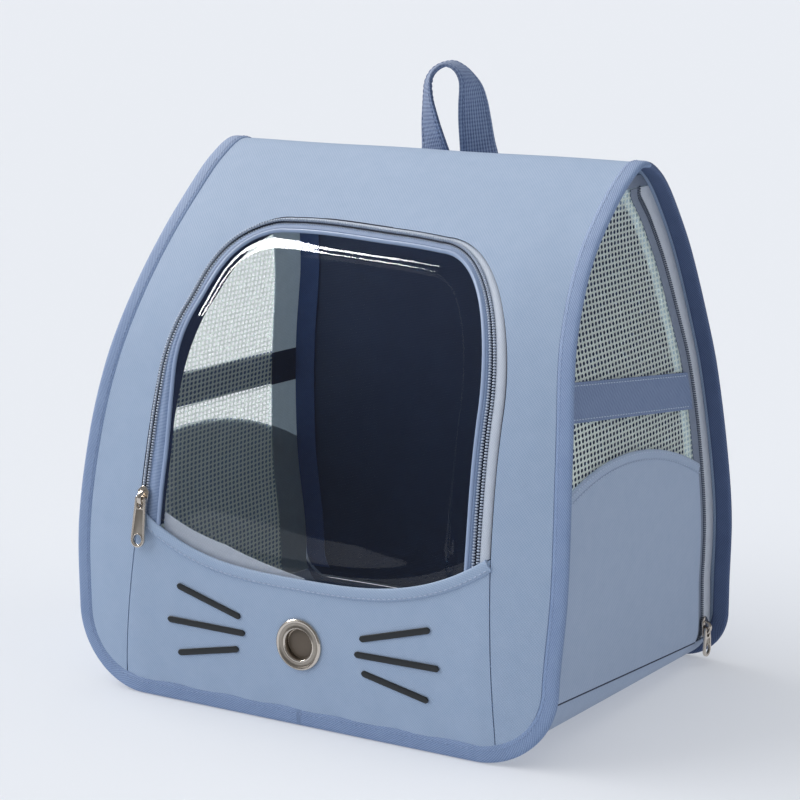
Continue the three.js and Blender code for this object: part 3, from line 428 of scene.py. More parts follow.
# Nylon coils and sewing threads: small smooth beads that catch a point of light each.
COIL = plain_material("nylon_coil", "#aab6c9", 0.35)
DARK_COIL = plain_material("dark_nylon_coil", "#5a6476", 0.4)
THREAD = plain_material("sewing_thread", "#a9b8d0", 0.6)
DARK_THREAD = plain_material("dark_sewing_thread", "#6f81a4", 0.6)
TAPE_THREAD = plain_material("blue_sewing_thread", "#8296ba", 0.6)
# A dark cord and sheet laid in crevices and gaps: painted shade where shadow falls between parts.
PAINTED_SHADE_CORD = plain_material("painted_shade_cord", "#232c40", 0.8)
# Plated metal: warm and bright on the rims, satin on the flat faces.
NICKEL = plain_material("warm_nickel", "#cfc6bb", 0.24, Metallic=1.0)
NICKEL_SATIN = plain_material("satin_nickel", "#a8a096", 0.42, Metallic=1.0)
# Thick ink and moulded plastics, with a soft gloss.
PRINT = plain_material("raised_print", "#171c20", 0.5)
DISC = plain_material("brown_disc", "#5e5347", 0.45)
BUCKLE = plain_material("moulded_buckle", "#3b4760", 0.42)
# Clear film: a low alpha lets light into the cabin, and a high index keeps its gloss.
FILM = plain_material("clear_film", "#10141c", 0.03, IOR=3.0, Alpha=0.06)
WELT = plain_material("film_welt", "#8fa2c2", 0.35)
print("materials:", len(bpy.data.materials))


# %% A grey felt for the floor mat
def felt_material():
    """Felt has no threads in rows, so a fine noise makes its fibres and its uneven surface."""
    material = plain_material("grey_felt", "#8d8f94", 0.95)
    tree = material.node_tree
    place = add_node(tree, "ShaderNodeTexCoord")
    fibre = add_node(tree, "ShaderNodeTexNoise", {
        "Vector": place.outputs["Object"], "Scale": 900.0, "Detail": 5.0,
    })
    tone = add_node(tree, "ShaderNodeValToRGB", {"Fac": fibre.outputs["Fac"]})
    tone.color_ramp.elements[0].color = linear("#7b7e85")
    tone.color_ramp.elements[1].color = linear("#a3a5aa")
    bump = add_node(tree, "ShaderNodeBump", {
        "Height": fibre.outputs["Fac"], "Distance": 0.0006, "Strength": 0.7,
    })
    shader = tree.nodes["Principled BSDF"]
    tree.links.new(tone.outputs["Color"], shader.inputs["Base Color"])
    tree.links.new(bump.outputs["Normal"], shader.inputs["Normal"])
    return material


FELT = felt_material()
print("felt ready")

# %% [markdown]
# ## The wrap panel and its binding
#
# The wrap is a grid along its path, a little crowded at the rounded lower corners, with the front opening
# cut out of it by a prism. A mesh drawn round the opening would avoid the cut, but the grid keeps one even
# weave over the whole bag. Slow ripples of half a millimetre break the light as stiff cloth does. The
# binding is a loft along the panel's edge; its faces behind the ridge take a darker tape, painted shade.

# %% The front opening in the front view
BIB = {
    "bottom_half": 137.0, "top_half": 128.4, "top": 119.0, "smile_low": 89.5, "smile_rise": 31.0,
    "smile_half": 130.0,
}
ARCH = {"aside": 2.2, "half": 125.5, "flat": 53.5, "centre": 200.0, "rise": 96.5, "crown": 2.5}
ARCH_LEAN = 0.5
ZIP_SWAY = -3.8
PINCH = {"from": 150.0, "to": 250.0, "share": 0.5}
PULL_OUT = {"from": 245.0, "to": 285.0, "right": -20.0, "left": 60.0, "out": 9.0, "up": 4.0}
PIPING_INSET = 16.0
PANEL_INSET = 12.0
PANEL_LOW = FLOOR + PANEL_INSET
CLOTH = 2.0


def between(low, high, share):
    return low + (high - low) * share


def smooth_step(low, high, at):
    share = np.clip((at - low) / (high - low), 0, 1)
    return share * share * (3 - 2 * share)


def smile_height(x):
    return BIB["smile_low"] + BIB["smile_rise"] * (np.abs(x) / BIB["smile_half"]) ** 3


def opening_half(z):
    share = (z - PANEL_LOW) / (BIB["top"] - PANEL_LOW)
    return BIB["bottom_half"] + (BIB["top_half"] - BIB["bottom_half"]) * share


def arch_line(inset, count=160):
    """The arch from its right foot over the top to its left foot, evenly spaced, inside the opening."""
    rise = ARCH["rise"] - inset * ARCH_LEAN
    sway = ZIP_SWAY * max(0.0, math.sin(math.pi * inset / PIPING_INSET))
    z_leg = np.linspace(130, ARCH["centre"], 12)[:-1]
    down = (ARCH["centre"] - z_leg) / (ARCH["centre"] - BIB["top"])
    turn = np.linspace(0, math.pi / 2, 32)
    over = np.linspace(1, 0, 13)[1:]
    half = np.concatenate((
        between(ARCH["half"], BIB["top_half"], down), between(ARCH["flat"], ARCH["half"], np.cos(turn)),
        ARCH["flat"] * over,
    ))
    z = np.concatenate((
        z_leg, ARCH["centre"] + rise * np.sin(turn), ARCH["centre"] + rise + ARCH["crown"] * (1 - over**2),
    ))
    spread = np.concatenate((1 + 0 * z_leg, np.cos(turn), 0 * over))
    pinch = 1 - PINCH["share"] * smooth_step(PINCH["from"], PINCH["to"], z)
    right = np.stack((half - inset * spread + sway, z), -1)
    left = np.stack((-(half - inset * pinch * spread) + sway * pinch, z), -1)
    feet = [side * (BIB["top_half"] - inset) + sway for side in (1, -1)]
    ends = [[(x, smile_height(x + ARCH["aside"]) + 0.6)] for x in feet]
    line = np.concatenate((ends[0], right, left[-2::-1], ends[1])) + (ARCH["aside"], 0)
    high = smooth_step(PULL_OUT["from"], PULL_OUT["to"], line[:, 1])
    share = high * smooth_step(PULL_OUT["right"], PULL_OUT["left"], -line[:, 0])
    line = line + share[:, None] * (-PULL_OUT["out"], PULL_OUT["up"])
    run = run_lengths(line)
    return np.stack([np.interp(np.linspace(0, run[-1], count), run, line[:, k]) for k in (0, 1)], -1)


print("opening: the arch is %.0f mm long" % run_lengths(arch_line(0))[-1])

# %% The wrap panel
UNDER_BINDING = 1.5
BELOW_FLOOR = FLOOR - 5
WRAP_GRID = {"corner_rows": 22, "front_corner": 46.0, "back_corner": 34.0, "rows": 190, "columns": 65}
RIPPLE = {"height": 0.45, "calm_edge": 12.0}


def ripple(x, run):
    """Slow waves of stiff cloth, in mm."""
    wave = np.sin(x / 31 + 1.7 * np.sin(run / 57)) * np.sin(run / 43 + 0.9 * np.sin(x / 47))
    return RIPPLE["height"] * wave


def make_wrap():
    """The panel as a grid, crowded at its lower corners, with the opening cut out."""
    share = np.linspace(0, 1, WRAP_GRID["corner_rows"])
    corner_front = run_at(PANEL_LOW + WRAP_GRID["front_corner"] * share**2)
    corner_back = run_at(PANEL_LOW + WRAP_GRID["back_corner"] * share**2, True)[::-1]
    middle = np.linspace(corner_front[-1], corner_back[0], WRAP_GRID["rows"])[1:-1]
    run = np.concatenate((corner_front, middle, corner_back))[:, None]
    half = edge_x(path_height(run), run > RIDGE_RUN, PANEL_INSET - UNDER_BINDING)
    x = half * np.linspace(-1, 1, WRAP_GRID["columns"])[None, :]
    run = np.broadcast_to(run, x.shape)
    lift = ripple(x, run) * np.clip((half - np.abs(x)) / RIPPLE["calm_edge"], 0, 1)
    uv = np.stack((x, run), -1)
    panel = make_slab("wrap_cloth", wrap_point(run, x, lift), wrap_point(run, x, lift - CLOTH), uv)
    half_low = opening_half(BELOW_FLOOR)
    outline = np.concatenate(([(half_low, BELOW_FLOOR)], arch_line(0), [(-half_low, BELOW_FLOOR)]))
    return cut_out(panel, *front_prism(outline))


wrap = dress(make_wrap(), SHELL, "shell_fabric", "wrap_panel")
print("wrap:", len(wrap.data.polygons), "faces")

# %% The binding round the panel's edge
BINDING = {"width": 11.0, "thickness": 4.2, "lift": 0.4, "painted_shade_behind": 6.0}


def binding_half(side):
    """Stations (run, x) from the middle of the front hem round one side to the middle of the back hem."""
    inset = BINDING["width"] / 2
    hem = inset + BINDING["lift"]

    def corner_run(back):
        radius = BACK_CORNER if back else FRONT_CORNER
        bottom = half_width(FLOOR + radius) - radius
        turn = np.linspace(0, math.pi / 2, 28)[:-1]
        x = np.concatenate((np.linspace(0, bottom, 40)[:-1], bottom + (radius - inset) * np.sin(turn)))
        z = np.concatenate((np.full(39, hem), radius - (radius - hem) * np.cos(turn)))
        return np.stack((run_at(FLOOR + z, back), x), -1)

    run = np.linspace(run_at(FLOOR + FRONT_CORNER), run_at(FLOOR + BACK_CORNER, True), 240)
    sides = np.stack((run, half_width(path_height(run)) - inset), -1)
    whole = np.concatenate((corner_run(False), sides, corner_run(True)[::-1]))
    return whole * (1, side)


def binding_stations():
    right = binding_half(1)
    left = binding_half(-1)
    return np.concatenate((right, left[-2:0:-1]))


BINDING_STATIONS = binding_stations()


def binding_frame():
    """The binding's closed path with its across and out directions."""
    run, x = BINDING_STATIONS.T
    path = wrap_point(run, x, -CLOTH / 2)
    out = unit(wrap_point(run, x, 1.0) - wrap_point(run, x, 0.0))
    return path, unit(np.cross(path_ways(path, True), out)), out


def make_binding():
    outline = oval(BINDING["width"], BINDING["thickness"], 20, 0.6)
    return make_loft("binding_tape", ring_path(*binding_frame(), outline), closed=True)


binding = dress(make_binding(), BINDING_TAPE, "binding_tape", "binding_left", "binding_right")
# Faces a little behind the ridge take the darker tape, which paints the shade there.
ridge_y = PATH[PATH[:, 1].argmax(), 0]
binding.data.materials.append(REAR_TAPE_PAINTED_SHADE)
for face in binding.data.polygons:
    face.material_index = int(face.center.y * 1000 - TO_FRAME[1] > ridge_y + BINDING["painted_shade_behind"])
print("binding:", len(binding.data.polygons), "faces")

# %% The lining of the back wall and the base
SIDE_INSET = 12.0
SIDE_FOOT = 55.0
BASE = {"thickness": 3.0, "front_round": 48.0, "back_round": 28.0, "behind_wall": -4.0}
SEAM = {"front": 31.0, "back": 11.0}
CABIN = {"front": -110.0, "back": 132.0}


def depth_share(y):
    return np.clip((y - CABIN["front"]) / (CABIN["back"] - CABIN["front"]), 0, 1)


def base_round(y):
    return between(BASE["front_round"], BASE["back_round"], depth_share(y))


def seam_height(y):
    return between(SEAM["front"], SEAM["back"], depth_share(y))


def side_x(y, z):
    """The plane of a side panel, with its turn into the base."""
    x = half_width(np.maximum(z, SIDE_FOOT)) - SIDE_INSET
    turn = base_round(y)
    below = np.clip(FLOOR + turn - z, 0, turn)
    return np.where(below <= 0, x, x - turn + np.sqrt(turn**2 - below**2))


def wall_y(z, back, x, n):
    return wrap_point(run_at(z, back, x, n), x, n)[..., 1]


LINING_FORM = {"top": 304.0, "foot": 2.0, "outer": -2.6, "inner": -3.9, "calm": 0.3}
WALL_TAPE_FORM = {"top": 300.0, "foot": 8.0, "outer": -4.9, "inner": -5.6, "width": 15.0}
WALL_MARGIN = 4.0


def back_wall(form):
    """Rows down the back wall: the way along the path and half the clear width of each."""
    run = np.linspace(run_at(form["top"], True), run_at(PANEL_LOW + form["foot"], True), 70)[:, None]
    z = path_height(run)
    y = np.interp(run, PATH_RUN, PATH[:, 0])
    half = np.minimum(side_x(y, np.maximum(z, SIDE_FOOT)), edge_x(z, True, PANEL_INSET))
    return run, half - WALL_MARGIN


def make_lining():
    """The lining: its inner face ripples, and its hidden outer face less."""
    run, half = back_wall(LINING_FORM)
    x = half * np.linspace(-1, 1, 41)[None, :]
    run = np.broadcast_to(run, x.shape)
    lift = ripple(x, run)
    outer = wrap_point(run, x, lift * LINING_FORM["calm"] + LINING_FORM["outer"])
    inner = wrap_point(run, x, lift + LINING_FORM["inner"])
    return make_slab("lining_cloth", outer, inner, np.stack((x, run), -1))


def make_base():
    """One sheet: a flat between two rounds that turn it up to the side seams."""
    round_steps, flat_steps, rows = 16, 8, 30
    columns = 2 * round_steps + flat_steps
    share = np.linspace(0, 1, rows + 1)[:, None]
    step = np.arange(columns + 1)[None, :]
    guess = between(CABIN["front"], CABIN["back"], share)
    turn_radius = base_round(guess)
    wall = half_width(SIDE_FOOT) - SIDE_INSET
    layers = []
    for depth in (0.0, BASE["thickness"]):
        reach = turn_radius - depth
        first = np.arcsin(np.clip((FLOOR + turn_radius - seam_height(guess)) / reach, 0, 1))
        from_edge = np.minimum(step, columns - step)
        turn = between(first, math.pi / 2, np.minimum(1, from_edge / round_steps))
        flat_share = np.clip((step - round_steps) / flat_steps, 0, 1)
        side = np.where(step < round_steps, 1, -1)
        x = between(1, -1, flat_share) * (wall - turn_radius) + side * reach * np.cos(turn)
        z = FLOOR + turn_radius - reach * np.sin(turn)
        height = np.maximum(z, FLOOR + 0.5)
        front, back = (wall_y(height, end, x, BASE["behind_wall"]) for end in (False, True))
        y = between(front, back, share)
        layers.append(np.stack((x, y, z), -1))
    return make_slab("base_cloth", *layers, layers[0][..., :2])


def make_wall_tape(name, side):
    """Seam tape along one edge of the back wall, on the lining."""
    run, half = back_wall(WALL_TAPE_FORM)
    x = side * (half - np.linspace(0, WALL_TAPE_FORM["width"], 6)[None, :])
    run = np.broadcast_to(run, x.shape)
    layers = [wrap_point(run, x, WALL_TAPE_FORM[face]) for face in ("outer", "inner")]
    return make_slab(name, *layers, np.stack((x, run), -1))


lining = dress(make_lining(), LINING, "lining", "back_lining")
for side_name, side in (("left", -1), ("right", 1)):
    dress(make_wall_tape("wall_seam_tape_" + side_name, side), WALL_TAPE, "lining")
dress(make_base(), POCKET, "shell_fabric", "base_panel")
print("lining and base ready")


# %% The floor mat: a soft plate with rounded edges
def make_mat():
    half, back, radius, thickness = 114.0, 124.0, 20.0, 4.0
    turn = np.linspace(0, math.pi / 2, 10)
    arc = np.stack((np.sin(turn), -np.cos(turn)), -1)
    quarter = np.array(((0, -1), (1, 0)))
    outline = []
    corners = ((1, MAT_FRONT + radius), (1, back - radius), (-1, back - radius), (-1, MAT_FRONT + radius))
    for side, y in corners:
        outline.append(arc * radius + (side * (half - radius), y))
        arc = arc @ quarter.T
    flat = np.concatenate(outline)
    middle = flat.mean(axis=0)
    low = FLOOR + BASE["thickness"] + 0.3
    levels = (
        (0.0, 1.5), (0.6, 0.3), (1.6, 0.0), (thickness - 1.6, 0.0), (thickness - 0.5, 0.4), (thickness, 1.8),
    )
    rings = []
    for height, inset in levels:
        shrunk = middle + (flat - middle) * (1 - inset / half)
        rings.append(np.column_stack((shrunk, np.full(len(flat), low + height))))
    return make_loft("felt_mat", np.array(rings), sharp=60)


dress(make_mat(), FELT, "mat_felt", "floor_mat")
print("mat ready")

# %% [markdown]
# ## The bib, its print and the eyelet
#
# The bib closes the lower front. Its top edge is a shallow smile with a folded hem, and a gap of under a
# millimetre beside the wrap reads as the sewn-in seam. Its grid follows the smile, so the weave bends with
# the cloth. The print is a low rounded bar, as thick ink stands up from the cloth.

# %% The bib
EYELET = {"height": 49.0, "barrel": 10.9}
SEAM_GAP = 0.7


def bib_edge(side, z):
    """The bib's side: a straight line from the floor to the end of the smile."""
    top = ARCH["aside"] + side * BIB["top_half"]
    share = (z - BELOW_FLOOR) / (smile_height(top) - BELOW_FLOOR)
    edge = between(side * opening_half(BELOW_FLOOR), top, share) - side * SEAM_GAP
    limit = edge_x(z, False, PANEL_INSET - UNDER_BINDING)
    return np.clip(edge, -limit, limit)


def bib_grid(low, rows, columns):
    """The place (x, z) of each grid point, from a low line up to the smile."""
    up = np.linspace(0, 1, rows)[:, None]
    over = np.linspace(0, 1, columns)[None, :]
    x = between(-BIB["bottom_half"], BIB["bottom_half"], over) + 0 * up
    for _ in range(8):
        z = between(low(x), smile_height(x) - 0.2, up)
        x = between(bib_edge(-1, z), bib_edge(1, z), over)
    return x, z


def make_bib():
    x, z = bib_grid(lambda x: PANEL_LOW - 1.2 + 0 * x, 70, 91)
    pucker = 0.5 * np.sin(x / 6.5 + z / 9) * np.exp(-((z - PANEL_LOW) / 9) ** 2)
    lift = ripple(x, z) * 0.8 + pucker
    uv = np.stack((x, z), -1)
    bib = make_slab("bib_cloth", front_point(x, z, lift), front_point(x, z, lift - CLOTH), uv)
    turn = np.linspace(0, 2 * math.pi, 49)[:-1]
    reach = EYELET["barrel"] + 0.3
    hole = np.stack((reach * np.cos(turn), EYELET["height"] + reach * np.sin(turn)), -1)
    return cut_out(bib, *front_prism(hole))


bib = dress(make_bib(), SHELL, "shell_fabric", "bib_panel")
print("bib:", len(bib.data.polygons), "faces")

# %% The folded hem along the smile
HEM = {"width": 8.0, "height": 1.5, "left_z": 121.0, "right_z": 117.0, "gap": 0.4, "over": 0.8, "seat": 0.2}


def make_hem():
    """A flat tube along the smile that stands a little over the bib's edge."""
    left = bib_edge(-1, HEM["left_z"]) + HEM["gap"]
    right = bib_edge(1, HEM["right_z"]) - HEM["gap"]
    x = np.linspace(left, right, 150)
    path = front_point(x, smile_height(x) - HEM["width"] / 2 + HEM["over"], HEM["seat"])
    ways = path_ways(path)
    out = unit(front_point(x, smile_height(x) - 3, 1.0) - front_point(x, smile_height(x) - 3, 0.0))
    rings = ring_path(path, np.cross(ways, out), out, oval(HEM["width"], 2 * HEM["height"], 16, 0.7))
    return make_loft("bib_hem", rings, sharp=70)


dress(make_hem(), SHELL, "shell_fabric")
print("hem ready")


# %% The whisker print
def make_bar(name, inner, outer, width=4.2, height=0.55):
    """A low bar with round ends between two places in the front view."""
    share = 0.5 - 0.5 * np.cos(np.linspace(0, math.pi, 40))
    line = between(np.array(inner), np.array(outer), share[:, None])
    path = front_point(line[:, 0], line[:, 1], 0.55)
    out = unit(front_point(line[:, 0], line[:, 1], 1.5) - path)
    across = unit(np.cross(path_ways(path), out))
    run = run_lengths(path)
    from_end = np.minimum(run, run[-1] - run)
    round_end = np.sqrt(np.clip(1 - (1 - from_end / (width / 2)).clip(0) ** 2, 0.004, 1))
    size = np.stack((round_end * width, np.full(len(run), 2 * height)), -1)
    outline = oval(1.0, 1.0, 14, 0.7)[None] * size[:, None]
    return make_loft(name, ring_path(path, across, out, outline), sharp=70)


WHISKERS = (((44, 59.5), (93, 73)), ((40.5, 49.5), (100, 50)), ((45.5, 38.5), (92.5, 28.5)))
for side_name, side in (("left", -1), ("right", 1)):
    for number, (inner, outer) in enumerate(WHISKERS, 1):
        ends = [(side * x, z) for x, z in (inner, outer)]
        bar = make_bar("print_%s_%d" % (side_name, number), *ends)
        dress(bar, PRINT, "black_print", "whisker_%s_%d" % (side_name, number))
print("print: 6 bars")


# %% The eyelet and its disc
def front_frame(x, z):
    """Origin, across, up and out of a piece on the front wall, in mm."""
    run = run_at(z, False, x)
    origin = wrap_point(run, x, 0.0)
    up = unit(wrap_point(run + 1.7, x, 0.0) - origin)
    beside = unit(wrap_point(run, x + 1.0, 0.0) - origin)
    out = unit(np.cross(beside, up))
    return origin, np.cross(up, out), up, out


def make_turned(name, place, profile, sides=72):
    """A turned part round the outward axis of its place, from (radius, height) rows."""
    origin, across, up, out = place
    turn = np.arange(sides) / sides * 2 * math.pi
    spoke = np.cos(turn)[:, None] * across + np.sin(turn)[:, None] * up
    rows = np.asarray(profile, float)
    rings = origin + rows[:, 0, None, None] * spoke[None] + rows[:, 1, None, None] * out
    return make_loft(name, rings, sharp=35)


EYELET_PLACE = front_frame(0.0, EYELET["height"])
EYELET_RIM = (
    (9.9, -3.2), (9.7, -1.0), (9.75, 0.9), (10.1, 1.5), (10.6, 1.75), (11.2, 1.6), (11.7, 1.2),
    (12.6, 1.05), (13.6, 1.2), (14.2, 1.75), (14.8, 2.15), (15.4, 2.2), (16.0, 1.85), (16.4, 1.2),
    (16.5, 0.5), (15.8, 0.3), (11.2, 0.3), (10.9, -3.2), (9.9, -3.2),
)
EYELET_GROOVE = (11.3, 14.3)
eyelet = dress(make_turned("eyelet_ring", EYELET_PLACE, EYELET_RIM), NICKEL, "nickel", "eyelet")
eyelet.data.materials.append(NICKEL_SATIN)
eyelet_middle = Vector((EYELET_PLACE[0] + TO_FRAME) / 1000)
for face in eyelet.data.polygons:
    reach = (face.center - eyelet_middle).length * 1000
    face.material_index = int(EYELET_GROOVE[0] < reach < EYELET_GROOVE[1])
DISC_ROWS = ((0.05, -2.9), (9.2, -2.9), (9.2, -2.0), (8.9, -1.9), (6.0, -1.75), (0.05, -1.7))
dress(make_turned("eyelet_back", EYELET_PLACE, DISC_ROWS, 48), DISC, "disc_plastic", "eyelet_disc")
print("eyelet ready")

# %% [markdown]
# ## The clear door and its zip
#
# The door's film bends up over its sewn edge before it lies flat, and this rolled lip carries the bright
# line seen round a clear window. The zip has two tapes with a dark bed between them, painted shade under
# its teeth. The teeth could be a texture, but they stand up and catch the light, so Geometry Nodes sets a
# real pair at each step. Behind the film a navy facing stands inwards along the arch, and a pale tape
# follows the lower left edge.

# %% Bands between two lines of the front view


def make_band(name, first, second, rows, n_out, n_in):
    """A sheet between two lines of equally many points (x, z); n_out and n_in give the faces' heights."""
    share = np.linspace(0, 1, rows)[None, :, None]
    flat = between(first[:, None, :], second[:, None, :], share)
    outer = front_point(flat[..., 0], flat[..., 1], n_out(share[..., 0]) + 0 * flat[..., 0])
    inner = front_point(flat[..., 0], flat[..., 1], n_in + 0 * flat[..., 0])
    run = run_lengths(first)[:, None] + 0 * share[..., 0]
    width = np.linalg.norm(second - first, axis=1).mean()
    return make_slab(name, outer, inner, np.stack((share[..., 0] * width + 0 * run, run), -1))


print("band helper ready")

# %% The zip's tapes, and the dark bed under its coil as painted shade
TEETH_INSET = 6.6
TAPE_HALF = 1.9
BED_HALF = 2.4


def outer_rise(share):
    """The outer tape dips under the wrap's edge and again at the teeth."""
    return -0.3 - 1.7 * (1 - share) ** 6 - 0.9 * share**4


def inner_rise(share):
    """The inner tape is a low swell between the teeth and the film."""
    return -1.4 + 1.2 * np.sin(math.pi * share) ** 2


def bed_rise(share):
    return -1.9 + 0 * share


outer_tape = make_band(
    "outer_zip_tape", arch_line(0.3), arch_line(TEETH_INSET - TAPE_HALF), 13, outer_rise, -2.6,
)
dress(outer_tape, ZIP_TAPE, "zip_tape", "zip_tape_outer")
inner_tape = make_band(
    "inner_zip_tape", arch_line(TEETH_INSET + TAPE_HALF), arch_line(PIPING_INSET), 13, inner_rise, -2.6,
)
dress(inner_tape, INNER_TAPE, "zip_tape", "zip_tape_inner")
# The dark sheet under the teeth is painted shade between the two rows.
bed = make_band(
    "coil_painted_shade_bed", arch_line(TEETH_INSET - BED_HALF), arch_line(TEETH_INSET + BED_HALF), 5, bed_rise, -2.7,
)
dress(bed, PAINTED_SHADE_CORD, "zip_tape")
print("zip tapes and coil bed ready")

# %% The door's facing, and the pale tape at its lower left
FACING = {"inset": 15.2, "shallow": 3.0, "deep": 13.0, "from": 170.0, "to": 235.0}


def make_facing():
    """Navy tape that stands inwards along the arch, deep at the top and shallow down the legs."""
    line = arch_line(FACING["inset"], 240)
    behind = arch_line(FACING["inset"] + 0.8, 240)
    depth = between(FACING["shallow"], FACING["deep"], smooth_step(FACING["from"], FACING["to"], line[:, 1]))
    n = -2.8 - depth[:, None] * np.linspace(0, 1, 8)[None, :]
    place = lambda points: front_point(points[:, :1] + 0 * n, points[:, 1:] + 0 * n, n)
    return make_slab("door_facing", place(line), place(behind), np.stack((line[:, :1] + 0 * n, n), -1))


def make_smile_tape():
    """Pale tape behind the film's lower left edge, wide at the zip and gone at the middle."""
    x = np.linspace(-108, 0, 90)[:, None]
    share = np.linspace(0, 1, 7)[None, :]
    z = smile_height(x) - 2 + share * (2 + 10 * np.clip(-x / 60, 0, 1))
    x = x + 0 * share
    return make_slab("smile_tape", front_point(x, z, -3.4), front_point(x, z, -4.2), np.stack((x, z), -1))


dress(make_facing(), NAVY_TAPE, "lining")
dress(make_smile_tape(), ZIP_TAPE, "zip_tape")
print("facing and smile tape ready")


# %% The film with its rolled lip
LIP = {"arch": 2.6, "from_arch": 11.0, "smile": 1.4, "from_smile": 5.0, "smile_breadth": 3.4, "fade": 6.0}
LIP_BREADTH = {"right": 2.0, "left": 5.0, "from": 15.0, "to": 70.0}
FILM_FORM = {"seat": -1.0, "thickness": 0.6, "sway": 0.5, "calm_edge": 25.0}


def edge_distance(points, line):
    """How far each point (x, z) lies from a line of points."""
    start, end = line[:-1], line[1:]
    way = end - start
    length = (way**2).sum(-1)
    near = np.full(points.shape[:-1], np.inf)
    for a, d, l in zip(start, way, length):
        share = np.clip(((points - a) @ d) / l, 0, 1)
        near = np.minimum(near, np.linalg.norm(points - a - share[..., None] * d, axis=-1))
    return near


def make_film():
    """The film between the smile and the arch; its lip is broader towards the left."""
    arch = arch_line(PIPING_INSET + 0.3, 170)
    x = np.linspace(arch[0, 0], arch[-1, 0], len(arch))
    smile = np.stack((x, smile_height(x) + 0.6), -1)
    share = (0.5 - 0.5 * np.cos(np.linspace(0, math.pi, 210)))[None, :, None]
    flat = between(smile[:, None], arch[:, None], share)
    from_arch = edge_distance(flat, arch)
    from_smile = edge_distance(flat, smile)
    leftward = smooth_step(LIP_BREADTH["from"], LIP_BREADTH["to"], -flat[..., 0])
    broad = between(LIP_BREADTH["right"], LIP_BREADTH["left"], leftward)
    lip = LIP["arch"] * np.exp(-((from_arch - LIP["from_arch"]) / broad) ** 2)
    lip += LIP["smile"] * np.exp(-((from_smile - LIP["from_smile"]) / LIP["smile_breadth"]) ** 2)
    lip = lip * np.clip(from_smile / LIP["fade"], 0, 1)
    sway = FILM_FORM["sway"] * np.sin(flat[..., 0] / 37 + flat[..., 1] / 61)
    calm = np.clip(np.minimum(from_arch, from_smile) / FILM_FORM["calm_edge"], 0, 1)
    n = FILM_FORM["seat"] + lip + sway * calm
    outer = front_point(flat[..., 0], flat[..., 1], n)
    inner = front_point(flat[..., 0], flat[..., 1], n - FILM_FORM["thickness"])
    return make_slab("door_film", outer, inner, flat)


film = dress(make_film(), FILM, "clear_film", "window_pane")
print("film:", len(film.data.polygons), "faces")


# %% The welt between the film and the zip, and a painted shade line along the opening's edge
def front_tube(name, line, n, width, height, sides=14):
    """A tube along a line of the front view."""
    path = front_point(line[:, 0], line[:, 1], n)
    out = unit(front_point(line[:, 0], line[:, 1], n + 1.0) - path)
    across = unit(np.cross(path_ways(path), out))
    return make_loft(name, ring_path(path, across, out, oval(width, height, sides, 0.8)), sharp=70)


dress(front_tube("film_welt", arch_line(PIPING_INSET - 0.2, 240), -0.5, 2.6, 2.2), WELT, "zip_tape")
# The thin dark tube along the opening's edge is painted shade where the wrap meets the tape.
edge_line = front_tube("opening_edge_painted_shade", arch_line(0.25, 240), -0.7, 0.9, 1.0, 8)
dress(edge_line, PAINTED_SHADE_CORD, "shell_fabric")
print("welt and edge line ready")

# %% [markdown]
# ## Repeats with Geometry Nodes
#
# Three small trees make all that repeats: stitches along a line, zip teeth along a line with an outward
# direction, and net cells on a field of points. Each has named inputs for its sizes and ends by realizing
# its copies and setting their material, so what comes out is a plain mesh.

# %% Running a tree on lines or points


def new_tree(name, inputs):
    """A tree with a geometry input and output and more named inputs."""
    tree = bpy.data.node_groups.new(name, "GeometryNodeTree")
    tree.interface.new_socket(name="Geometry", in_out="INPUT", socket_type="NodeSocketGeometry")
    for label, kind in inputs:
        tree.interface.new_socket(name=label, in_out="INPUT", socket_type=kind)
    tree.interface.new_socket(name="Geometry", in_out="OUTPUT", socket_type="NodeSocketGeometry")
    return tree, add_node(tree, "NodeGroupInput")


def end_tree(tree, copies, material):
    """Realizes the copies, paints them and hands them out."""
    real = add_node(tree, "GeometryNodeRealizeInstances", {"Geometry": copies})
    painted = add_node(tree, "GeometryNodeSetMaterial", {"Geometry": real.outputs[0], "Material": material})
    add_node(tree, "NodeGroupOutput", {"Geometry": painted.outputs[0]})


def run_tree(name, tree, values, lines, outs=None):
    """A plain mesh from a tree that works on lines of points in mm, with an outward direction at each."""
    mesh = bpy.data.meshes.new(name)
    edges = []
    start = 0
    for line in lines:
        edges += [(k, k + 1) for k in range(start, start + len(line) - 1)]
        start += len(line)
    mesh.from_pydata((np.concatenate(lines) + TO_FRAME) / 1000, edges, [])
    if outs is not None:
        attribute = mesh.attributes.new("out", "FLOAT_VECTOR", "POINT")
        attribute.data.foreach_set("vector", np.concatenate(outs).ravel())
    piece = bpy.data.objects.new(name, mesh)
    scene.collection.objects.link(piece)
    modifier = piece.modifiers.new("repeat", "NODES")
    modifier.node_group = tree
    for socket in tree.interface.items_tree:
        if socket.in_out == "INPUT" and socket.name in values:
            modifier[socket.identifier] = values[socket.name]
    settle(piece)
    piece.data.shade_smooth()
    return piece


print("tree helpers ready")


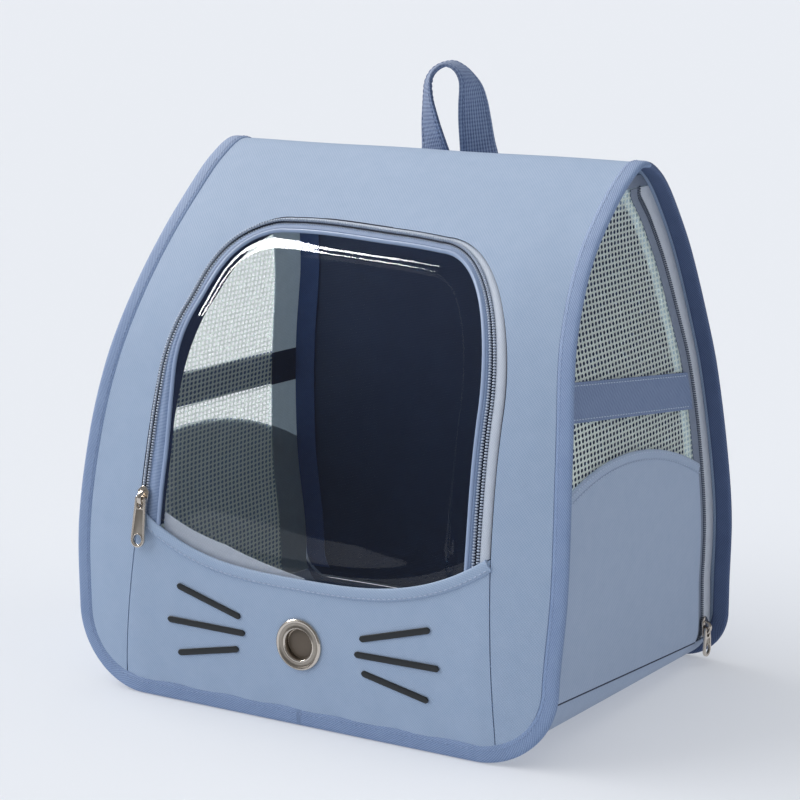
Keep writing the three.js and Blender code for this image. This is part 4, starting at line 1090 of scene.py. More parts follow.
# %% The tree for stitches
def stitch_tree():
    """Long beads of thread, one at each step along the lines."""
    floats = [(label, "NodeSocketFloat") for label in ("Pitch", "Length", "Thickness")]
    tree, given = new_tree("stitches_along_lines", [*floats, ("Thread", "NodeSocketMaterial")])
    curve = add_node(tree, "GeometryNodeMeshToCurve", {"Mesh": given.outputs["Geometry"]})
    even = add_node(tree, "GeometryNodeResampleCurve", {
        "Curve": curve.outputs["Curve"], "Length": given.outputs["Pitch"],
    }, mode="LENGTH")
    bead = add_node(tree, "GeometryNodeMeshUVSphere", {"Segments": 6, "Rings": 5, "Radius": 0.5})
    way = add_node(tree, "GeometryNodeInputTangent")
    turn = add_node(tree, "FunctionNodeAlignRotationToVector", {"Vector": way.outputs["Tangent"]}, axis="X")
    size = add_node(tree, "ShaderNodeCombineXYZ", {
        "X": given.outputs["Length"], "Y": given.outputs["Thickness"], "Z": given.outputs["Thickness"],
    })
    copies = add_node(tree, "GeometryNodeInstanceOnPoints", {
        "Points": even.outputs["Curve"], "Instance": bead.outputs["Mesh"],
        "Rotation": turn.outputs["Rotation"], "Scale": size.outputs["Vector"],
    })
    end_tree(tree, copies.outputs["Instances"], given.outputs["Thread"])
    return tree


STITCHES = stitch_tree()
STITCH = {"Pitch": 0.0036, "Length": 0.0029, "Thickness": 0.0007, "Thread": THREAD}
print("stitch tree:", len(STITCHES.nodes), "nodes")


# %% The tree for zip teeth
def teeth_tree():
    """A pair of teeth at each step, one on each side of the line, the second half a step on."""
    floats = [(label, "NodeSocketFloat") for label in ("Pitch", "Width", "Aside", "Height")]
    tree, given = new_tree("zip_teeth_along_lines", [*floats, ("Nylon", "NodeSocketMaterial")])
    curve = add_node(tree, "GeometryNodeMeshToCurve", {"Mesh": given.outputs["Geometry"]})
    even = add_node(tree, "GeometryNodeResampleCurve", {
        "Curve": curve.outputs["Curve"], "Length": given.outputs["Pitch"],
    }, mode="LENGTH")
    bead = add_node(tree, "GeometryNodeMeshUVSphere", {"Segments": 8, "Rings": 5, "Radius": 0.5})
    thick = add_node(tree, "ShaderNodeMath", {0: given.outputs["Pitch"], 1: 0.8}, operation="MULTIPLY")
    size = add_node(tree, "ShaderNodeCombineXYZ", {
        "X": thick.outputs[0], "Y": given.outputs["Width"], "Z": given.outputs["Height"],
    })
    half = add_node(tree, "ShaderNodeMath", {0: given.outputs["Pitch"], 1: 0.5}, operation="MULTIPLY")
    other = add_node(tree, "ShaderNodeMath", {0: given.outputs["Aside"], 1: -1.0}, operation="MULTIPLY")
    near = add_node(tree, "ShaderNodeCombineXYZ", {"Y": given.outputs["Aside"]})
    far = add_node(tree, "ShaderNodeCombineXYZ", {"X": half.outputs[0], "Y": other.outputs[0]})
    pair = add_node(tree, "GeometryNodeJoinGeometry")
    for place in (near, far):
        tooth = add_node(tree, "GeometryNodeTransform", {
            "Geometry": bead.outputs["Mesh"], "Translation": place.outputs["Vector"],
            "Scale": size.outputs["Vector"],
        })
        tree.links.new(tooth.outputs["Geometry"], pair.inputs["Geometry"])
    way = add_node(tree, "GeometryNodeInputTangent")
    out = add_node(tree, "GeometryNodeInputNamedAttribute", {"Name": "out"}, data_type="FLOAT_VECTOR")
    along = add_node(tree, "FunctionNodeAlignRotationToVector", {"Vector": way.outputs["Tangent"]}, axis="X")
    upright = add_node(tree, "FunctionNodeAlignRotationToVector", {
        "Rotation": along.outputs["Rotation"], "Vector": out.outputs["Attribute"],
    }, axis="Z", pivot_axis="X")
    copies = add_node(tree, "GeometryNodeInstanceOnPoints", {
        "Points": even.outputs["Curve"], "Instance": pair.outputs["Geometry"],
        "Rotation": upright.outputs["Rotation"],
    })
    end_tree(tree, copies.outputs["Instances"], given.outputs["Nylon"])
    return tree


TEETH = teeth_tree()
TOOTH = {"Pitch": 0.0018, "Width": 0.0024, "Aside": 0.0015, "Height": 0.0020, "Nylon": COIL}
print("tooth tree:", len(TEETH.nodes), "nodes")

# %% The front zip's teeth
teeth_line = arch_line(TEETH_INSET, 400)
teeth_path = front_point(teeth_line[:, 0], teeth_line[:, 1], -0.9)
teeth_out = unit(front_point(teeth_line[:, 0], teeth_line[:, 1], 0.6) - teeth_path)
front_teeth = run_tree("front_zip_teeth", TEETH, TOOTH, [teeth_path], [teeth_out])
dress(front_teeth, COIL, "zip_coil", "zip_coil")
print("front zip:", len(front_teeth.data.polygons), "faces")

# %% Stitches on the front
HEM_STITCHES = ((1.2, 1.5), (5.6, 1.55))
BINDING_STITCHES = {"across": -2.6, "out": 2.0}
x = np.linspace(bib_edge(-1, 120.0) + 2, bib_edge(1, 116.0) - 2, 200)
front_lines = [front_point(x, smile_height(x) - drop, lift) for drop, lift in HEM_STITCHES]
binding_path, binding_across, binding_out = binding_frame()
binding_line = binding_path + BINDING_STITCHES["across"] * binding_across
binding_line += BINDING_STITCHES["out"] * binding_out
dress(run_tree("binding_stitches", STITCHES, STITCH, [binding_line]), TAPE_THREAD, "shell_fabric")
front_stitches = dress(run_tree("front_stitches", STITCHES, STITCH, front_lines), THREAD, "shell_fabric")
print("stitches:", len(front_stitches.data.polygons), "faces")

# %% [markdown]
# ## The net sides
#
# A side is a net with a pocket sewn over its lower half, a band across it and a zip along its back edge.
# The net could be a see-through texture, but light has to fall through it on to the inside, so it is a
# lattice of real threads round eight-sided holes. Cells are laid flat in rows, merged at their corners, and
# bent on to the side by the same rule as all the other side pieces. Seam tapes close the side's edges
# inside, where they show through the window.

# %% Places on a side
NET_EDGE_ROWS = ((FLOOR, 111), (60, 108), (110, 103), (181, 96), (223, 90), (270, 77), (300, 60), (318, 43))
ZIP_BEHIND = 9.0
SIDE_ZIP_TOP = 323.0
CAP_TOP = 331.0
NET_OFFSET = -1.5
WALL_SEAT = {"low": -4.0, "net": -2.5, "from": 50.0, "to": 75.0}
POCKET_FORM = {"crest": -15.0, "reach": 112.0}
BAND_FORM = {"y": -69.0, "width": 24.0}
# The left side is sewn lower and straighter than the right one.
SEWN = {
    "left": {
        "top": 148.0, "fall": 22.0, "band": 176.0, "slope": -0.033, "flat": (0.22, 0.137), "area": 0.0248,
    },
    "right": {
        "top": 166.0, "fall": 26.0, "band": 209.0, "slope": -0.13, "flat": (0.22, 0.155), "area": 0.0285,
    },
}


def net_edge(z):
    return table_value(NET_EDGE_ROWS, z)


def zip_y(z):
    return net_edge(z) + ZIP_BEHIND


def side_wall(back, high):
    """The depth at which a side sheet meets the front or the back wall, further in near the base."""
    def place(z):
        n = between(WALL_SEAT["low"], high, smooth_step(WALL_SEAT["from"], WALL_SEAT["to"], z))
        return wall_y(z, back, half_width(z) - SIDE_INSET, n)
    return place


net_front = side_wall(False, WALL_SEAT["net"])
net_back = side_wall(True, WALL_SEAT["net"])
pocket_front = side_wall(False, WALL_SEAT["low"])


def pocket_line(sewn):
    """The height of a pocket's top edge, for any depth."""
    return lambda y: sewn["top"] - sewn["fall"] * ((y - POCKET_FORM["crest"]) / POCKET_FORM["reach"]) ** 2


def band_line(sewn):
    """The height of a band's middle, for any depth."""
    return lambda y: sewn["band"] + sewn["slope"] * (y - BAND_FORM["y"])


def above_seam(y):
    return seam_height(y) + 0.8


def side_grid(front_y, back_y, low_z, high_z, rows, columns):
    """The place (y, z) of each grid point between two depth limits and two height limits."""
    up = np.linspace(0, 1, rows)[:, None]
    over = np.linspace(0, 1, columns)[None, :]
    y = between(CABIN["front"], CABIN["back"], over) + 0 * up
    for _ in range(8):
        z = between(low_z(y), high_z(y), up)
        y = between(front_y(z), back_y(z), over)
    return y, z


def side_point(side, y, z, offset):
    return np.stack(np.broadcast_arrays(side * (side_x(y, z) + offset), y, z), -1)


def make_side_sheet(name, side, limits, size, outer, inner, puff=None):
    """A closed sheet on a side; puff lifts its middle by a height in mm."""
    y, z = side_grid(*limits, *size)
    lift = 0 * y
    if puff:
        up = np.linspace(0, 1, size[0])[:, None]
        over = np.linspace(0, 1, size[1])[None, :]
        lift = puff * (1 - (2 * over - 1) ** 4) * (1 - (2 * up - 1) ** 4)
    uv = np.stack((y, z), -1)
    return make_slab(name, side_point(side, y, z, outer + lift), side_point(side, y, z, inner + lift), uv)


print("side helpers ready")


# %% The tree for the net
def net_tree():
    """Cells with a square rim and an eight-sided hole, stretched to the net's proportion."""
    floats = [(label, "NodeSocketFloat") for label in ("Cell", "Hole", "Thickness", "Stretch")]
    tree, given = new_tree("net_cells_on_points", [*floats, ("Net", "NodeSocketMaterial")])
    cell = add_node(tree, "GeometryNodeJoinGeometry")
    spot = add_node(tree, "GeometryNodeInputPosition")
    size = add_node(tree, "ShaderNodeVectorMath", {0: spot.outputs["Position"]}, operation="ABSOLUTE")
    parts = add_node(tree, "ShaderNodeSeparateXYZ", {"Vector": size.outputs["Vector"]})
    longest = add_node(tree, "ShaderNodeMath", {
        0: parts.outputs["X"], 1: parts.outputs["Y"],
    }, operation="MAXIMUM")
    grow = add_node(tree, "ShaderNodeMath", {
        0: given.outputs["Cell"], 1: longest.outputs[0],
    }, operation="DIVIDE")
    square = add_node(tree, "ShaderNodeVectorMath", {
        0: spot.outputs["Position"], "Scale": grow.outputs[0],
    }, operation="SCALE")
    radius = add_node(tree, "ShaderNodeVectorMath", {0: spot.outputs["Position"]}, operation="LENGTH")
    rim = add_node(tree, "ShaderNodeMath", {0: given.outputs["Cell"], 1: 0.97}, operation="MULTIPLY")
    outer = add_node(tree, "ShaderNodeMath", {
        0: radius.outputs["Value"], 1: rim.outputs[0],
    }, operation="GREATER_THAN")
    half = add_node(tree, "ShaderNodeMath", {0: given.outputs["Thickness"], 1: 0.5}, operation="MULTIPLY")
    under = add_node(tree, "ShaderNodeMath", {0: given.outputs["Thickness"], 1: -0.5}, operation="MULTIPLY")
    for height in (half, under):
        face = add_node(tree, "GeometryNodeMeshCone", {
            "Vertices": 8, "Radius Top": given.outputs["Hole"], "Radius Bottom": given.outputs["Cell"],
            "Depth": 0.0,
        }, fill_type="NONE")
        squared = add_node(tree, "GeometryNodeSetPosition", {
            "Geometry": face.outputs["Mesh"], "Selection": outer.outputs[0],
            "Position": square.outputs["Vector"],
        })
        lift = add_node(tree, "ShaderNodeCombineXYZ", {"Z": height.outputs[0]})
        moved = add_node(tree, "GeometryNodeTransform", {
            "Geometry": squared.outputs["Geometry"], "Translation": lift.outputs["Vector"],
        })
        tree.links.new(moved.outputs["Geometry"], cell.inputs["Geometry"])
    wall = add_node(tree, "GeometryNodeMeshCylinder", {
        "Vertices": 8, "Radius": given.outputs["Hole"], "Depth": given.outputs["Thickness"],
    }, fill_type="NONE")
    tree.links.new(wall.outputs["Mesh"], cell.inputs["Geometry"])
    wide = add_node(tree, "ShaderNodeCombineXYZ", {"X": given.outputs["Stretch"], "Y": 1.0, "Z": 1.0})
    copies = add_node(tree, "GeometryNodeInstanceOnPoints", {
        "Points": given.outputs["Geometry"], "Instance": cell.outputs["Geometry"],
        "Scale": wide.outputs["Vector"],
    })
    end_tree(tree, copies.outputs["Instances"], given.outputs["Net"])
    return tree


NET_CELLS = net_tree()
CELL = 1.7
STRETCH = 1.35
NET_SIZES = {"Cell": CELL / 1000, "Hole": 0.00135, "Thickness": 0.0004, "Stretch": STRETCH, "Net": NET}


def net_points():
    """The middles of the net's cells, in straight rows inside the side's outline."""
    across, up = np.meshgrid(np.arange(-40, 40), np.arange(0, 110), indexing="ij")
    y = across * CELL * 2 * STRETCH
    z = up * CELL * 2
    inside = (z > above_seam(y) + 2) & (z < SIDE_ZIP_TOP - 1.5)
    inside &= (y > net_front(np.clip(z, 0, CAP_TOP - 1)) + 1.5) & (y < net_edge(z) + 0.5)
    return np.stack((y, z, 0 * y), -1)[inside]


def close_border(flat_net):
    """Joins the cells at their corners and walls the net's border between its two faces."""
    bmesh.ops.remove_doubles(flat_net, verts=flat_net.verts, dist=2e-5)
    border = [edge for edge in flat_net.edges if edge.is_boundary]
    # The small shift keeps the cells' corners off the rounding's steps.
    place = lambda vertex: (round(vertex.co.x + 3e-6, 5), round(vertex.co.y + 3e-6, 5))
    under = {place(vertex): vertex for edge in border for vertex in edge.verts if vertex.co.z < 0}
    for edge in border:
        a, b = edge.verts
        if a.co.z > 0:
            flat_net.faces.new((a, b, under[place(b)], under[place(a)]))


def make_net(name, side):
    """The cells laid flat, joined, and bent on to a side."""
    net = run_tree(name, NET_CELLS, NET_SIZES, [net_points() - TO_FRAME])
    joined = bmesh.new()
    joined.from_mesh(net.data)
    close_border(joined)
    flat = np.array([vertex.co for vertex in joined.verts]) * 1000
    bent = side_point(side, flat[:, 0], flat[:, 1], NET_OFFSET + flat[:, 2])
    for vertex, place in zip(joined.verts, (bent + TO_FRAME) / 1000):
        vertex.co = place
    bmesh.ops.recalc_face_normals(joined, faces=joined.faces)
    joined.to_mesh(net.data)
    joined.free()
    net.data.set_sharp_from_angle(angle=math.radians(40))
    return net


print("net tree:", len(NET_CELLS.nodes), "nodes")

# %% The cloth of a side: net, zip tape, strip, seam tapes, cap, pocket and band
SEAM_FACES = (-2.9, -3.6)
STRIP_FACES = (-1.0, -2.0)
TAPE_FACES = (-0.9, -1.6)
FRONT_TAPE_WIDTH = 13.0
REAR_TAPE_REACH = 10.0


def zip_top(y):
    return SIDE_ZIP_TOP + 0 * y


def band_edge(sewn, half):
    """The height of a band's edge, half its width above or below its middle."""
    return lambda y: band_line(sewn)(y) + half


def make_edge_pieces(name, side):
    """The tape and the strip on either side of the zip, and the cap above the net."""
    behind_net = lambda z: net_edge(z) - 2.0
    before_zip = lambda z: zip_y(z) - 0.3
    behind_zip = lambda z: zip_y(z) + 0.3
    limits = (behind_net, before_zip, above_seam, zip_top)
    tape = make_side_sheet("side_tape_" + name, side, limits, (70, 7), *TAPE_FACES)
    dress(tape, SIDE_TAPE, "zip_tape", "side_zip_tape_" + name)
    limits = (behind_zip, net_back, above_seam, zip_top)
    strip = make_side_sheet("side_gusset_" + name, side, limits, (70, 7), *STRIP_FACES)
    dress(strip, STRIP, "shell_fabric", "side_strip_" + name)
    low_cap = lambda y: SIDE_ZIP_TOP + 0.6 + 0 * y
    high_cap = lambda y: CAP_TOP + 0 * y
    limits = (net_front, net_back, low_cap, high_cap)
    cap = make_side_sheet("side_top_" + name, side, limits, (12, 24), *STRIP_FACES)
    dress(cap, SIDE_TAPE, "shell_fabric", "side_cap_" + name)


def make_seam_tapes(name, side):
    """Tapes inside: one along the front, and one along the back that changes at the band and the pocket."""
    behind_front = lambda z: net_front(z) + FRONT_TAPE_WIDTH
    before_edge = lambda z: net_edge(z) - REAR_TAPE_REACH
    limits = (net_front, behind_front, above_seam, zip_top)
    front_seam = make_side_sheet("front_seam_tape_" + name, side, limits, (70, 5), *SEAM_FACES)
    dress(front_seam, NAVY_TAPE, "lining")
    pocket_top = pocket_line(SEWN[name])
    low_band, high_band = (band_edge(SEWN[name], half * BAND_FORM["width"] / 2) for half in (-1, 1))
    # The grey tapes above the pocket carry the painted glow.
    for label, low, high, cloth in (
        ("high_seam_tape_", high_band, zip_top, GLOW_PAINTED_TAPE),
        ("band_seam_tape_", low_band, high_band, NAVY_TAPE),
        ("middle_seam_tape_", pocket_top, low_band, GLOW_PAINTED_TAPE),
        ("low_seam_tape_", above_seam, pocket_top, LOW_TAPE),
    ):
        limits = (before_edge, net_back, low, high)
        dress(make_side_sheet(label + name, side, limits, (40, 9), *SEAM_FACES), cloth, "lining")


def make_pocket_and_band(name, side):
    sewn = SEWN[name]
    limits = (pocket_front, net_edge, above_seam, pocket_line(sewn))
    pocket = make_side_sheet("side_pocket_cloth_" + name, side, limits, (60, 60), 0.9, -0.3, 1.6)
    dress(pocket, POCKET, "shell_fabric", "side_pocket_" + name)
    low_band, high_band = (band_edge(sewn, half * BAND_FORM["width"] / 2) for half in (-1, 1))
    limits = (pocket_front, net_edge, low_band, high_band)
    band = make_side_sheet("side_webbing_" + name, side, limits, (10, 60), 1.1, -0.4)
    dress(band, BAND_CLOTH, "webbing", "side_band_" + name)


for side_name, side in (("left", -1), ("right", 1)):
    net = dress(make_net("net_" + side_name, side), NET, "net", "side_mesh_" + side_name)
    make_edge_pieces(side_name, side)
    make_seam_tapes(side_name, side)
    make_pocket_and_band(side_name, side)
    print(net.name, len(net.data.polygons), "faces")

# %% The trim of a side: teeth, hem, a painted shade cord at the base seam and stitches
SIDE_COIL = {"Pitch": 0.0015, "Width": 0.0017, "Aside": 0.00105, "Height": 0.0015, "Nylon": DARK_COIL}
HEM_ENDS = {"front": 140.0, "back": 135.0, "inset": 0.5}


def side_tube(name, side, path, outline):
    """A tube along a line on a side."""
    out = np.tile((side, 0.0, 0.0), (len(path), 1))
    across = unit(np.cross(path_ways(path), out))
    return make_loft(name, ring_path(path, across, out, outline), sharp=70)


def make_trim(name, side):
    sewn = SEWN[name]
    pocket_top = pocket_line(sewn)
    z = np.linspace(above_seam(zip_y(SEAM["back"])), SIDE_ZIP_TOP, 240)
    chain = side_point(side, zip_y(z), z, -0.6)
    out = np.tile((side, 0.0, 0.0), (len(z), 1))
    teeth = run_tree("side_teeth_" + name, TEETH, SIDE_COIL, [chain], [out])
    dress(teeth, DARK_COIL, "zip_coil", "side_zip_coil_" + name)
    hem_front = pocket_front(np.array(HEM_ENDS["front"])) + HEM_ENDS["inset"]
    hem_back = net_edge(np.array(HEM_ENDS["back"])) - HEM_ENDS["inset"]
    y = np.linspace(hem_front, hem_back, 120)
    hem_path = side_point(side, y, pocket_top(y) - 3.4, 0.4)
    dress(side_tube("pocket_hem_" + name, side, hem_path, oval(7.5, 2.8, 14, 0.7)), POCKET, "shell_fabric")
    lines = [side_point(side, y, pocket_top(y) - drop, 1.9) for drop in (1.4, 5.8)]
    # A dark cord along the base seam is painted shade in the seam's gap.
    along = np.linspace(CABIN["front"] + 8, net_edge(np.array(15.0)), 120)
    seam = side_point(side, along, above_seam(along) - 0.6, 0.1)
    dress(side_tube("base_seam_painted_shade_" + name, side, seam, oval(1.5, 1.5, 8)), PAINTED_SHADE_CORD, "shell_fabric")
    level = np.array(sewn["band"])
    y = np.linspace(pocket_front(level) + 3, net_edge(level) - 3, 100)
    lines += [side_point(side, y, band_line(sewn)(y) + edge, 1.15) for edge in (-10.0, 10.0)]
    dress(run_tree("side_stitches_" + name, STITCHES, STITCH, lines), THREAD, "shell_fabric")
    print(teeth.name, len(teeth.data.polygons), "faces")


for side_name, side in (("left", -1), ("right", 1)):
    make_trim(side_name, side)

# %% [markdown]
# ## Metal: sliders and pulls
#
# A slider is a stamped plate with a bridge, and its pull is a plate with an eye, a raised rim and a hole.
# Flat outlines filled as 2-D curves with a small bevel give stamped metal its bright rounded edges.

# %% Stamped plates


def make_plate(name, place, outlines, low, high, bevel):
    """A plate from closed outlines in a place's own (across, up) plane, between two heights out of it."""
    curve = bpy.data.curves.new(name, "CURVE")
    curve.dimensions = "2D"
    curve.fill_mode = "BOTH"
    curve.extrude = (high - low) / 2 - bevel
    curve.bevel_depth = bevel
    curve.bevel_resolution = 2
    curve.offset = -bevel
    for outline in outlines:
        spline = curve.splines.new("POLY")
        spline.points.add(len(outline) - 1)
        for point, (a, b) in zip(spline.points, outline):
            point.co = (a, b, 0, 1)
        spline.use_cyclic_u = True
    drawn = bpy.data.objects.new(name + "_outline", curve)
    scene.collection.objects.link(drawn)
    mesh = bpy.data.meshes.new_from_object(drawn.evaluated_get(bpy.context.evaluated_depsgraph_get()))
    local = np.array([vertex.co for vertex in mesh.vertices])
    faces = [tuple(face.vertices) for face in mesh.polygons]
    bpy.data.objects.remove(drawn)
    origin, across, up, out = place
    height = local[:, 2] + (low + high) / 2
    points = origin + local[:, :1] * across + local[:, 1:2] * up + height[:, None] * out
    return make_piece(name, points, faces, sharp=50)


def arc(x, y, radius, start, end, count):
    """Points on an arc, with angles in degrees."""
    turn = np.radians(np.linspace(start, end, count))
    return np.stack((x + radius * np.cos(turn), y + radius * np.sin(turn)), -1)


def make_slider(name, place):
    """The slider's plate, wide and rounded at the top and narrow at the bottom."""
    half, top, bottom = 4.4, 6.5, -6.0
    plate = np.concatenate((
        [(-half, top - 2), (1.4 - half, bottom + 0.6)], arc(0, bottom + 1.2, 2.2, 215, 325, 6),
        [(half - 1.4, bottom + 0.6), (half, top - 2)], arc(0, top - 2.2, 3.4, 40, 140, 10),
    ))
    return make_plate(name, place, [plate], 0.8, 2.0, 0.3)


def make_bridge(name, place):
    """The loop over the slider's plate that holds the pull's bar."""
    origin, across, up, out = place
    turn = np.linspace(0, math.pi, 28)
    path = origin + 4.45 * np.cos(turn)[:, None] * up + (1.6 + 4.3 * np.sin(turn))[:, None] * out
    ways = path_ways(path)
    sides = np.tile(across, (len(turn), 1))
    rings = ring_path(path, sides, np.cross(ways, sides), oval(3.0, 1.4, 14, 0.6))
    return make_loft(name, rings, sharp=60)


def make_pull(name, place, length):
    """The pull's rim, its thinner face and the collar round its hole."""
    end_half, top_half, bar = 5.2, 4.2, 3.6
    end = end_half - length
    outer = np.concatenate((
        [(-top_half, -1.0)], arc(0, end, end_half, 180, 360, 28), [(top_half, -1.0)],
        arc(top_half - 1.6, -0.7, 1.6, 0, 90, 6), arc(1.6 - top_half, -0.7, 1.6, 90, 180, 6),
    ))
    eye = [(-2.2, -0.9), (2.2, -0.9), (2.2, -5.3), (0.8, -6.3), (-0.8, -6.3), (-2.2, -5.3)]
    inner = np.concatenate((
        [(1.5 - top_half, -7.6)], arc(0, end, end_half - 1.3, 180, 360, 24), [(top_half - 1.5, -7.6)],
    ))
    hole = arc(0, end, 3.2, 0, 345, 24)
    lug = arc(0, end, 3.9, 0, 345, 24)
    rim = make_plate(name + "_rim", place, [outer, eye, inner], bar - 0.9, bar + 0.9, 0.3)
    face = make_plate(name + "_face", place, [inner * (1.08, 1.01), hole], bar - 0.5, bar + 0.5, 0.12)
    collar = make_plate(name + "_collar", place, [lug, hole], bar - 0.9, bar + 0.9, 0.2)
    return rim, face, collar


FRONT_SLIDER = {"x": -122.5, "z": 125.0, "pull": 32.0}
SIDE_SLIDER = {"z": 22.0, "lift": -0.1, "pull": 20.0}


def dress_zip(slider_node, pull_node, body, place, length):
    """The slider stays with the carrier; the pull rides on its own body."""
    dress(make_slider(slider_node + "_plate", place), NICKEL, "nickel", slider_node)
    dress(make_bridge(slider_node + "_bridge", place), NICKEL, "nickel")
    rim, face, collar = make_pull(pull_node, place, length)
    dress(rim, NICKEL, "nickel", pull_node, body=body)
    dress(face, NICKEL_SATIN, "nickel", body=body)
    dress(collar, NICKEL, "nickel", body=body)


front_place = front_frame(FRONT_SLIDER["x"], FRONT_SLIDER["z"])
dress_zip("zip_slider", "zip_pull", "front_pull", front_place, FRONT_SLIDER["pull"])
for side_name, side in (("left", -1), ("right", 1)):
    y = zip_y(SIDE_SLIDER["z"])
    origin = np.array((side * (side_x(y, SIDE_SLIDER["z"]) + SIDE_SLIDER["lift"]), y, SIDE_SLIDER["z"]))
    axes = np.array(((0, side, 0), (0, 0, 1), (side, 0, 0)), float)
    place = (origin, *axes)
    nodes = ("side_slider_" + side_name, "side_pull_" + side_name)
    dress_zip(*nodes, side_name + "_pull", place, SIDE_SLIDER["pull"])
print("sliders and pulls ready")

# %% [markdown]
# ## Handle and straps
#
# The grab handle is one length of webbing: its feet lie on the back slope and it makes half a turn from foot
# to foot. Webbing keeps its width, so it is lofted along its path and not simulated. The shoulder
# pads are stuffed, so a cloth simulation with a little pressure gives them their full, uneven faces.

# %% Paths through knots


def centripetal(knots, count):
    """Evenly spaced points on a smooth curve that doesn't overshoot between close knots."""
    first = 2 * knots[0] - knots[1]
    last = 2 * knots[-1] - knots[-2]
    ends = np.vstack((first, knots, last))
    step = np.sqrt(np.linalg.norm(np.diff(ends, axis=0), axis=1))
    t = np.linspace(0, 1, 60, endpoint=False)[:, None]
    spans = []
    for k in range(len(knots) - 1):
        before, start, end, after = ends[k:k + 4]
        d0, d1, d2 = step[k:k + 3]
        leave = ((start - before) / d0 - (end - before) / (d0 + d1) + (end - start) / d1) * d1
        arrive = ((end - start) / d1 - (after - start) / (d1 + d2) + (after - end) / d2) * d1
        curved = (3 * (end - start) - 2 * leave - arrive) * t**2
        spans.append(start + leave * t + curved + (2 * (start - end) + leave + arrive) * t**3)
    line = np.vstack((*spans, knots[-1:]))
    run = run_lengths(line)
    return np.stack([np.interp(np.linspace(0, run[-1], count), run, line[:, k]) for k in range(3)], -1)


print("path helper ready")

# %% The grab handle
HANDLE = {"width": 25.0, "thickness": 2.4, "seat": 0.8}
HANDLE_ROWS = (
    (-18, 303, 0, 0), (-18, 310, 0, 0), (-18, 316, 0, 0), (-18.4, 318, 5, 4), (-18.8, 318, 14, 10),
    (-19.6, 318, 19, 18), (-21.7, 318, 29, 28), (-23.2, 318, 38, 36), (-24.6, 318, 51, 47),
    (-24.3, 318, 60, 52), (-21.5, 318, 66, 55), (-15.8, 318, 71, 62), (-7.7, 318, 73.5, 70),
    (-0.3, 318, 71, 78), (5.4, 318, 65, 86), (8.1, 318, 58.5, 98), (9.7, 318, 49, 110),
    (11.1, 318, 37.5, 119), (13.3, 318, 22, 130), (14.8, 318, 14, 146), (16.6, 318, 5, 168),
    (18, 316, 0, 180), (18, 310, 0, 180), (18, 303, 0, 180),
)


def handle_frame():
    """The handle's path with its across and out directions; each row is x, z, rise and turn in degrees."""
    seat = HANDLE["thickness"] / 2 + HANDLE["seat"]
    knots = np.array([
        wrap_point(run_at(z, True, x), x, seat) + (0, 0, rise) for x, z, rise, _ in HANDLE_ROWS
    ])
    path = centripetal(knots, 241)
    places = [np.linalg.norm(path - knot, axis=1).argmin() for knot in knots]
    turns = [(place, row[3]) for place, row in zip(places, HANDLE_ROWS)]
    turn = np.radians(table_value(turns, np.arange(len(path))))
    along = path_ways(path)
    wide = np.stack((np.cos(turn), -np.sin(turn), 0 * turn), -1)
    across = unit(wide - (wide * along).sum(-1, keepdims=True) * along)
    return path, across, np.cross(along, across)


handle_path, handle_across, handle_out = handle_frame()
handle_rings = ring_path(
    handle_path, handle_across, handle_out, oval(HANDLE["width"], HANDLE["thickness"], 28, 0.35),
)
dress(make_loft("handle_webbing", handle_rings, sharp=60), WEBBING, "webbing", "grab_handle")
handle_lines = [
    handle_path + edge * handle_across + off * handle_out for off in (1.3, -1.3) for edge in (-9.5, 9.5)
]
dress(run_tree("handle_stitches", STITCHES, STITCH, handle_lines), DARK_THREAD, "webbing")
print("handle ready")

# %% The straps' webbing and adjusters
PAD_ROWS = (
    (326, 62, 6.2, 52, 9), (312, 62, 6.6, 54, 11), (285, 63, 14, 58, 12), (240, 65, 26, 60, 12),
    (190, 68, 31, 60, 12), (150, 72, 27, 56, 11), (126, 75, 21, 42, 8),
)
TAIL_ROWS = ((125.4, 75.1, 20.8), (105, 79, 16), (70, 88, 10), (40, 97, 5), (20, 103, 1.6))
STRAP_WIDTH = 25.0
ADJUSTER_AT = 0.3


def strap_knots(rows, side):
    """Places on the back from rows of height, distance from the middle and height off the cloth."""
    return np.array([wrap_point(run_at(z, True, x), side * x, out) for z, x, out in rows])


def strap_axes(path):
    """The across and out directions of a strap that lies level."""
    along = path_ways(path)
    across = unit(np.array((1.0, 0, 0)) - along[:, :1] * along)
    return across, np.cross(along, across)


def make_adjuster(name, place):
    """A ladder buckle: a rounded frame with two slots and a middle bar."""
    frame_line = np.concatenate([
        arc(x, y, 3, start, start + 90, 7)
        for x, y, start in ((14, 7, 0), (-14, 7, 90), (-14, -7, 180), (14, -7, 270))
    ])
    slots = []
    for middle in (4.6, -4.6):
        low, high = middle - 2.2, middle + 2.2
        slots.append([(-13.2, low), (13.2, low), (13.2, high), (-13.2, high)])
    return make_plate(name, place, [frame_line, *slots], 1.3, 4.0, 0.6)


for side_name, side in (("left", -1), ("right", 1)):
    tail_path = centripetal(strap_knots(TAIL_ROWS, side), 80)
    across, out = strap_axes(tail_path)
    tail_rings = ring_path(tail_path, across, out, oval(STRAP_WIDTH, 2.0, 24, 0.35))
    tail = make_loft("strap_tail_" + side_name, tail_rings, sharp=60)
    dress(tail, WEBBING, "webbing", "strap_webbing_" + side_name)
    seat = round(ADJUSTER_AT * (len(tail_path) - 1))
    place = (tail_path[seat], across[seat], -path_ways(tail_path)[seat], out[seat])
    buckle = make_adjuster("strap_buckle_" + side_name, place)
    dress(buckle, BUCKLE, "buckle_plastic", "strap_adjuster_" + side_name)
print("strap tails ready")


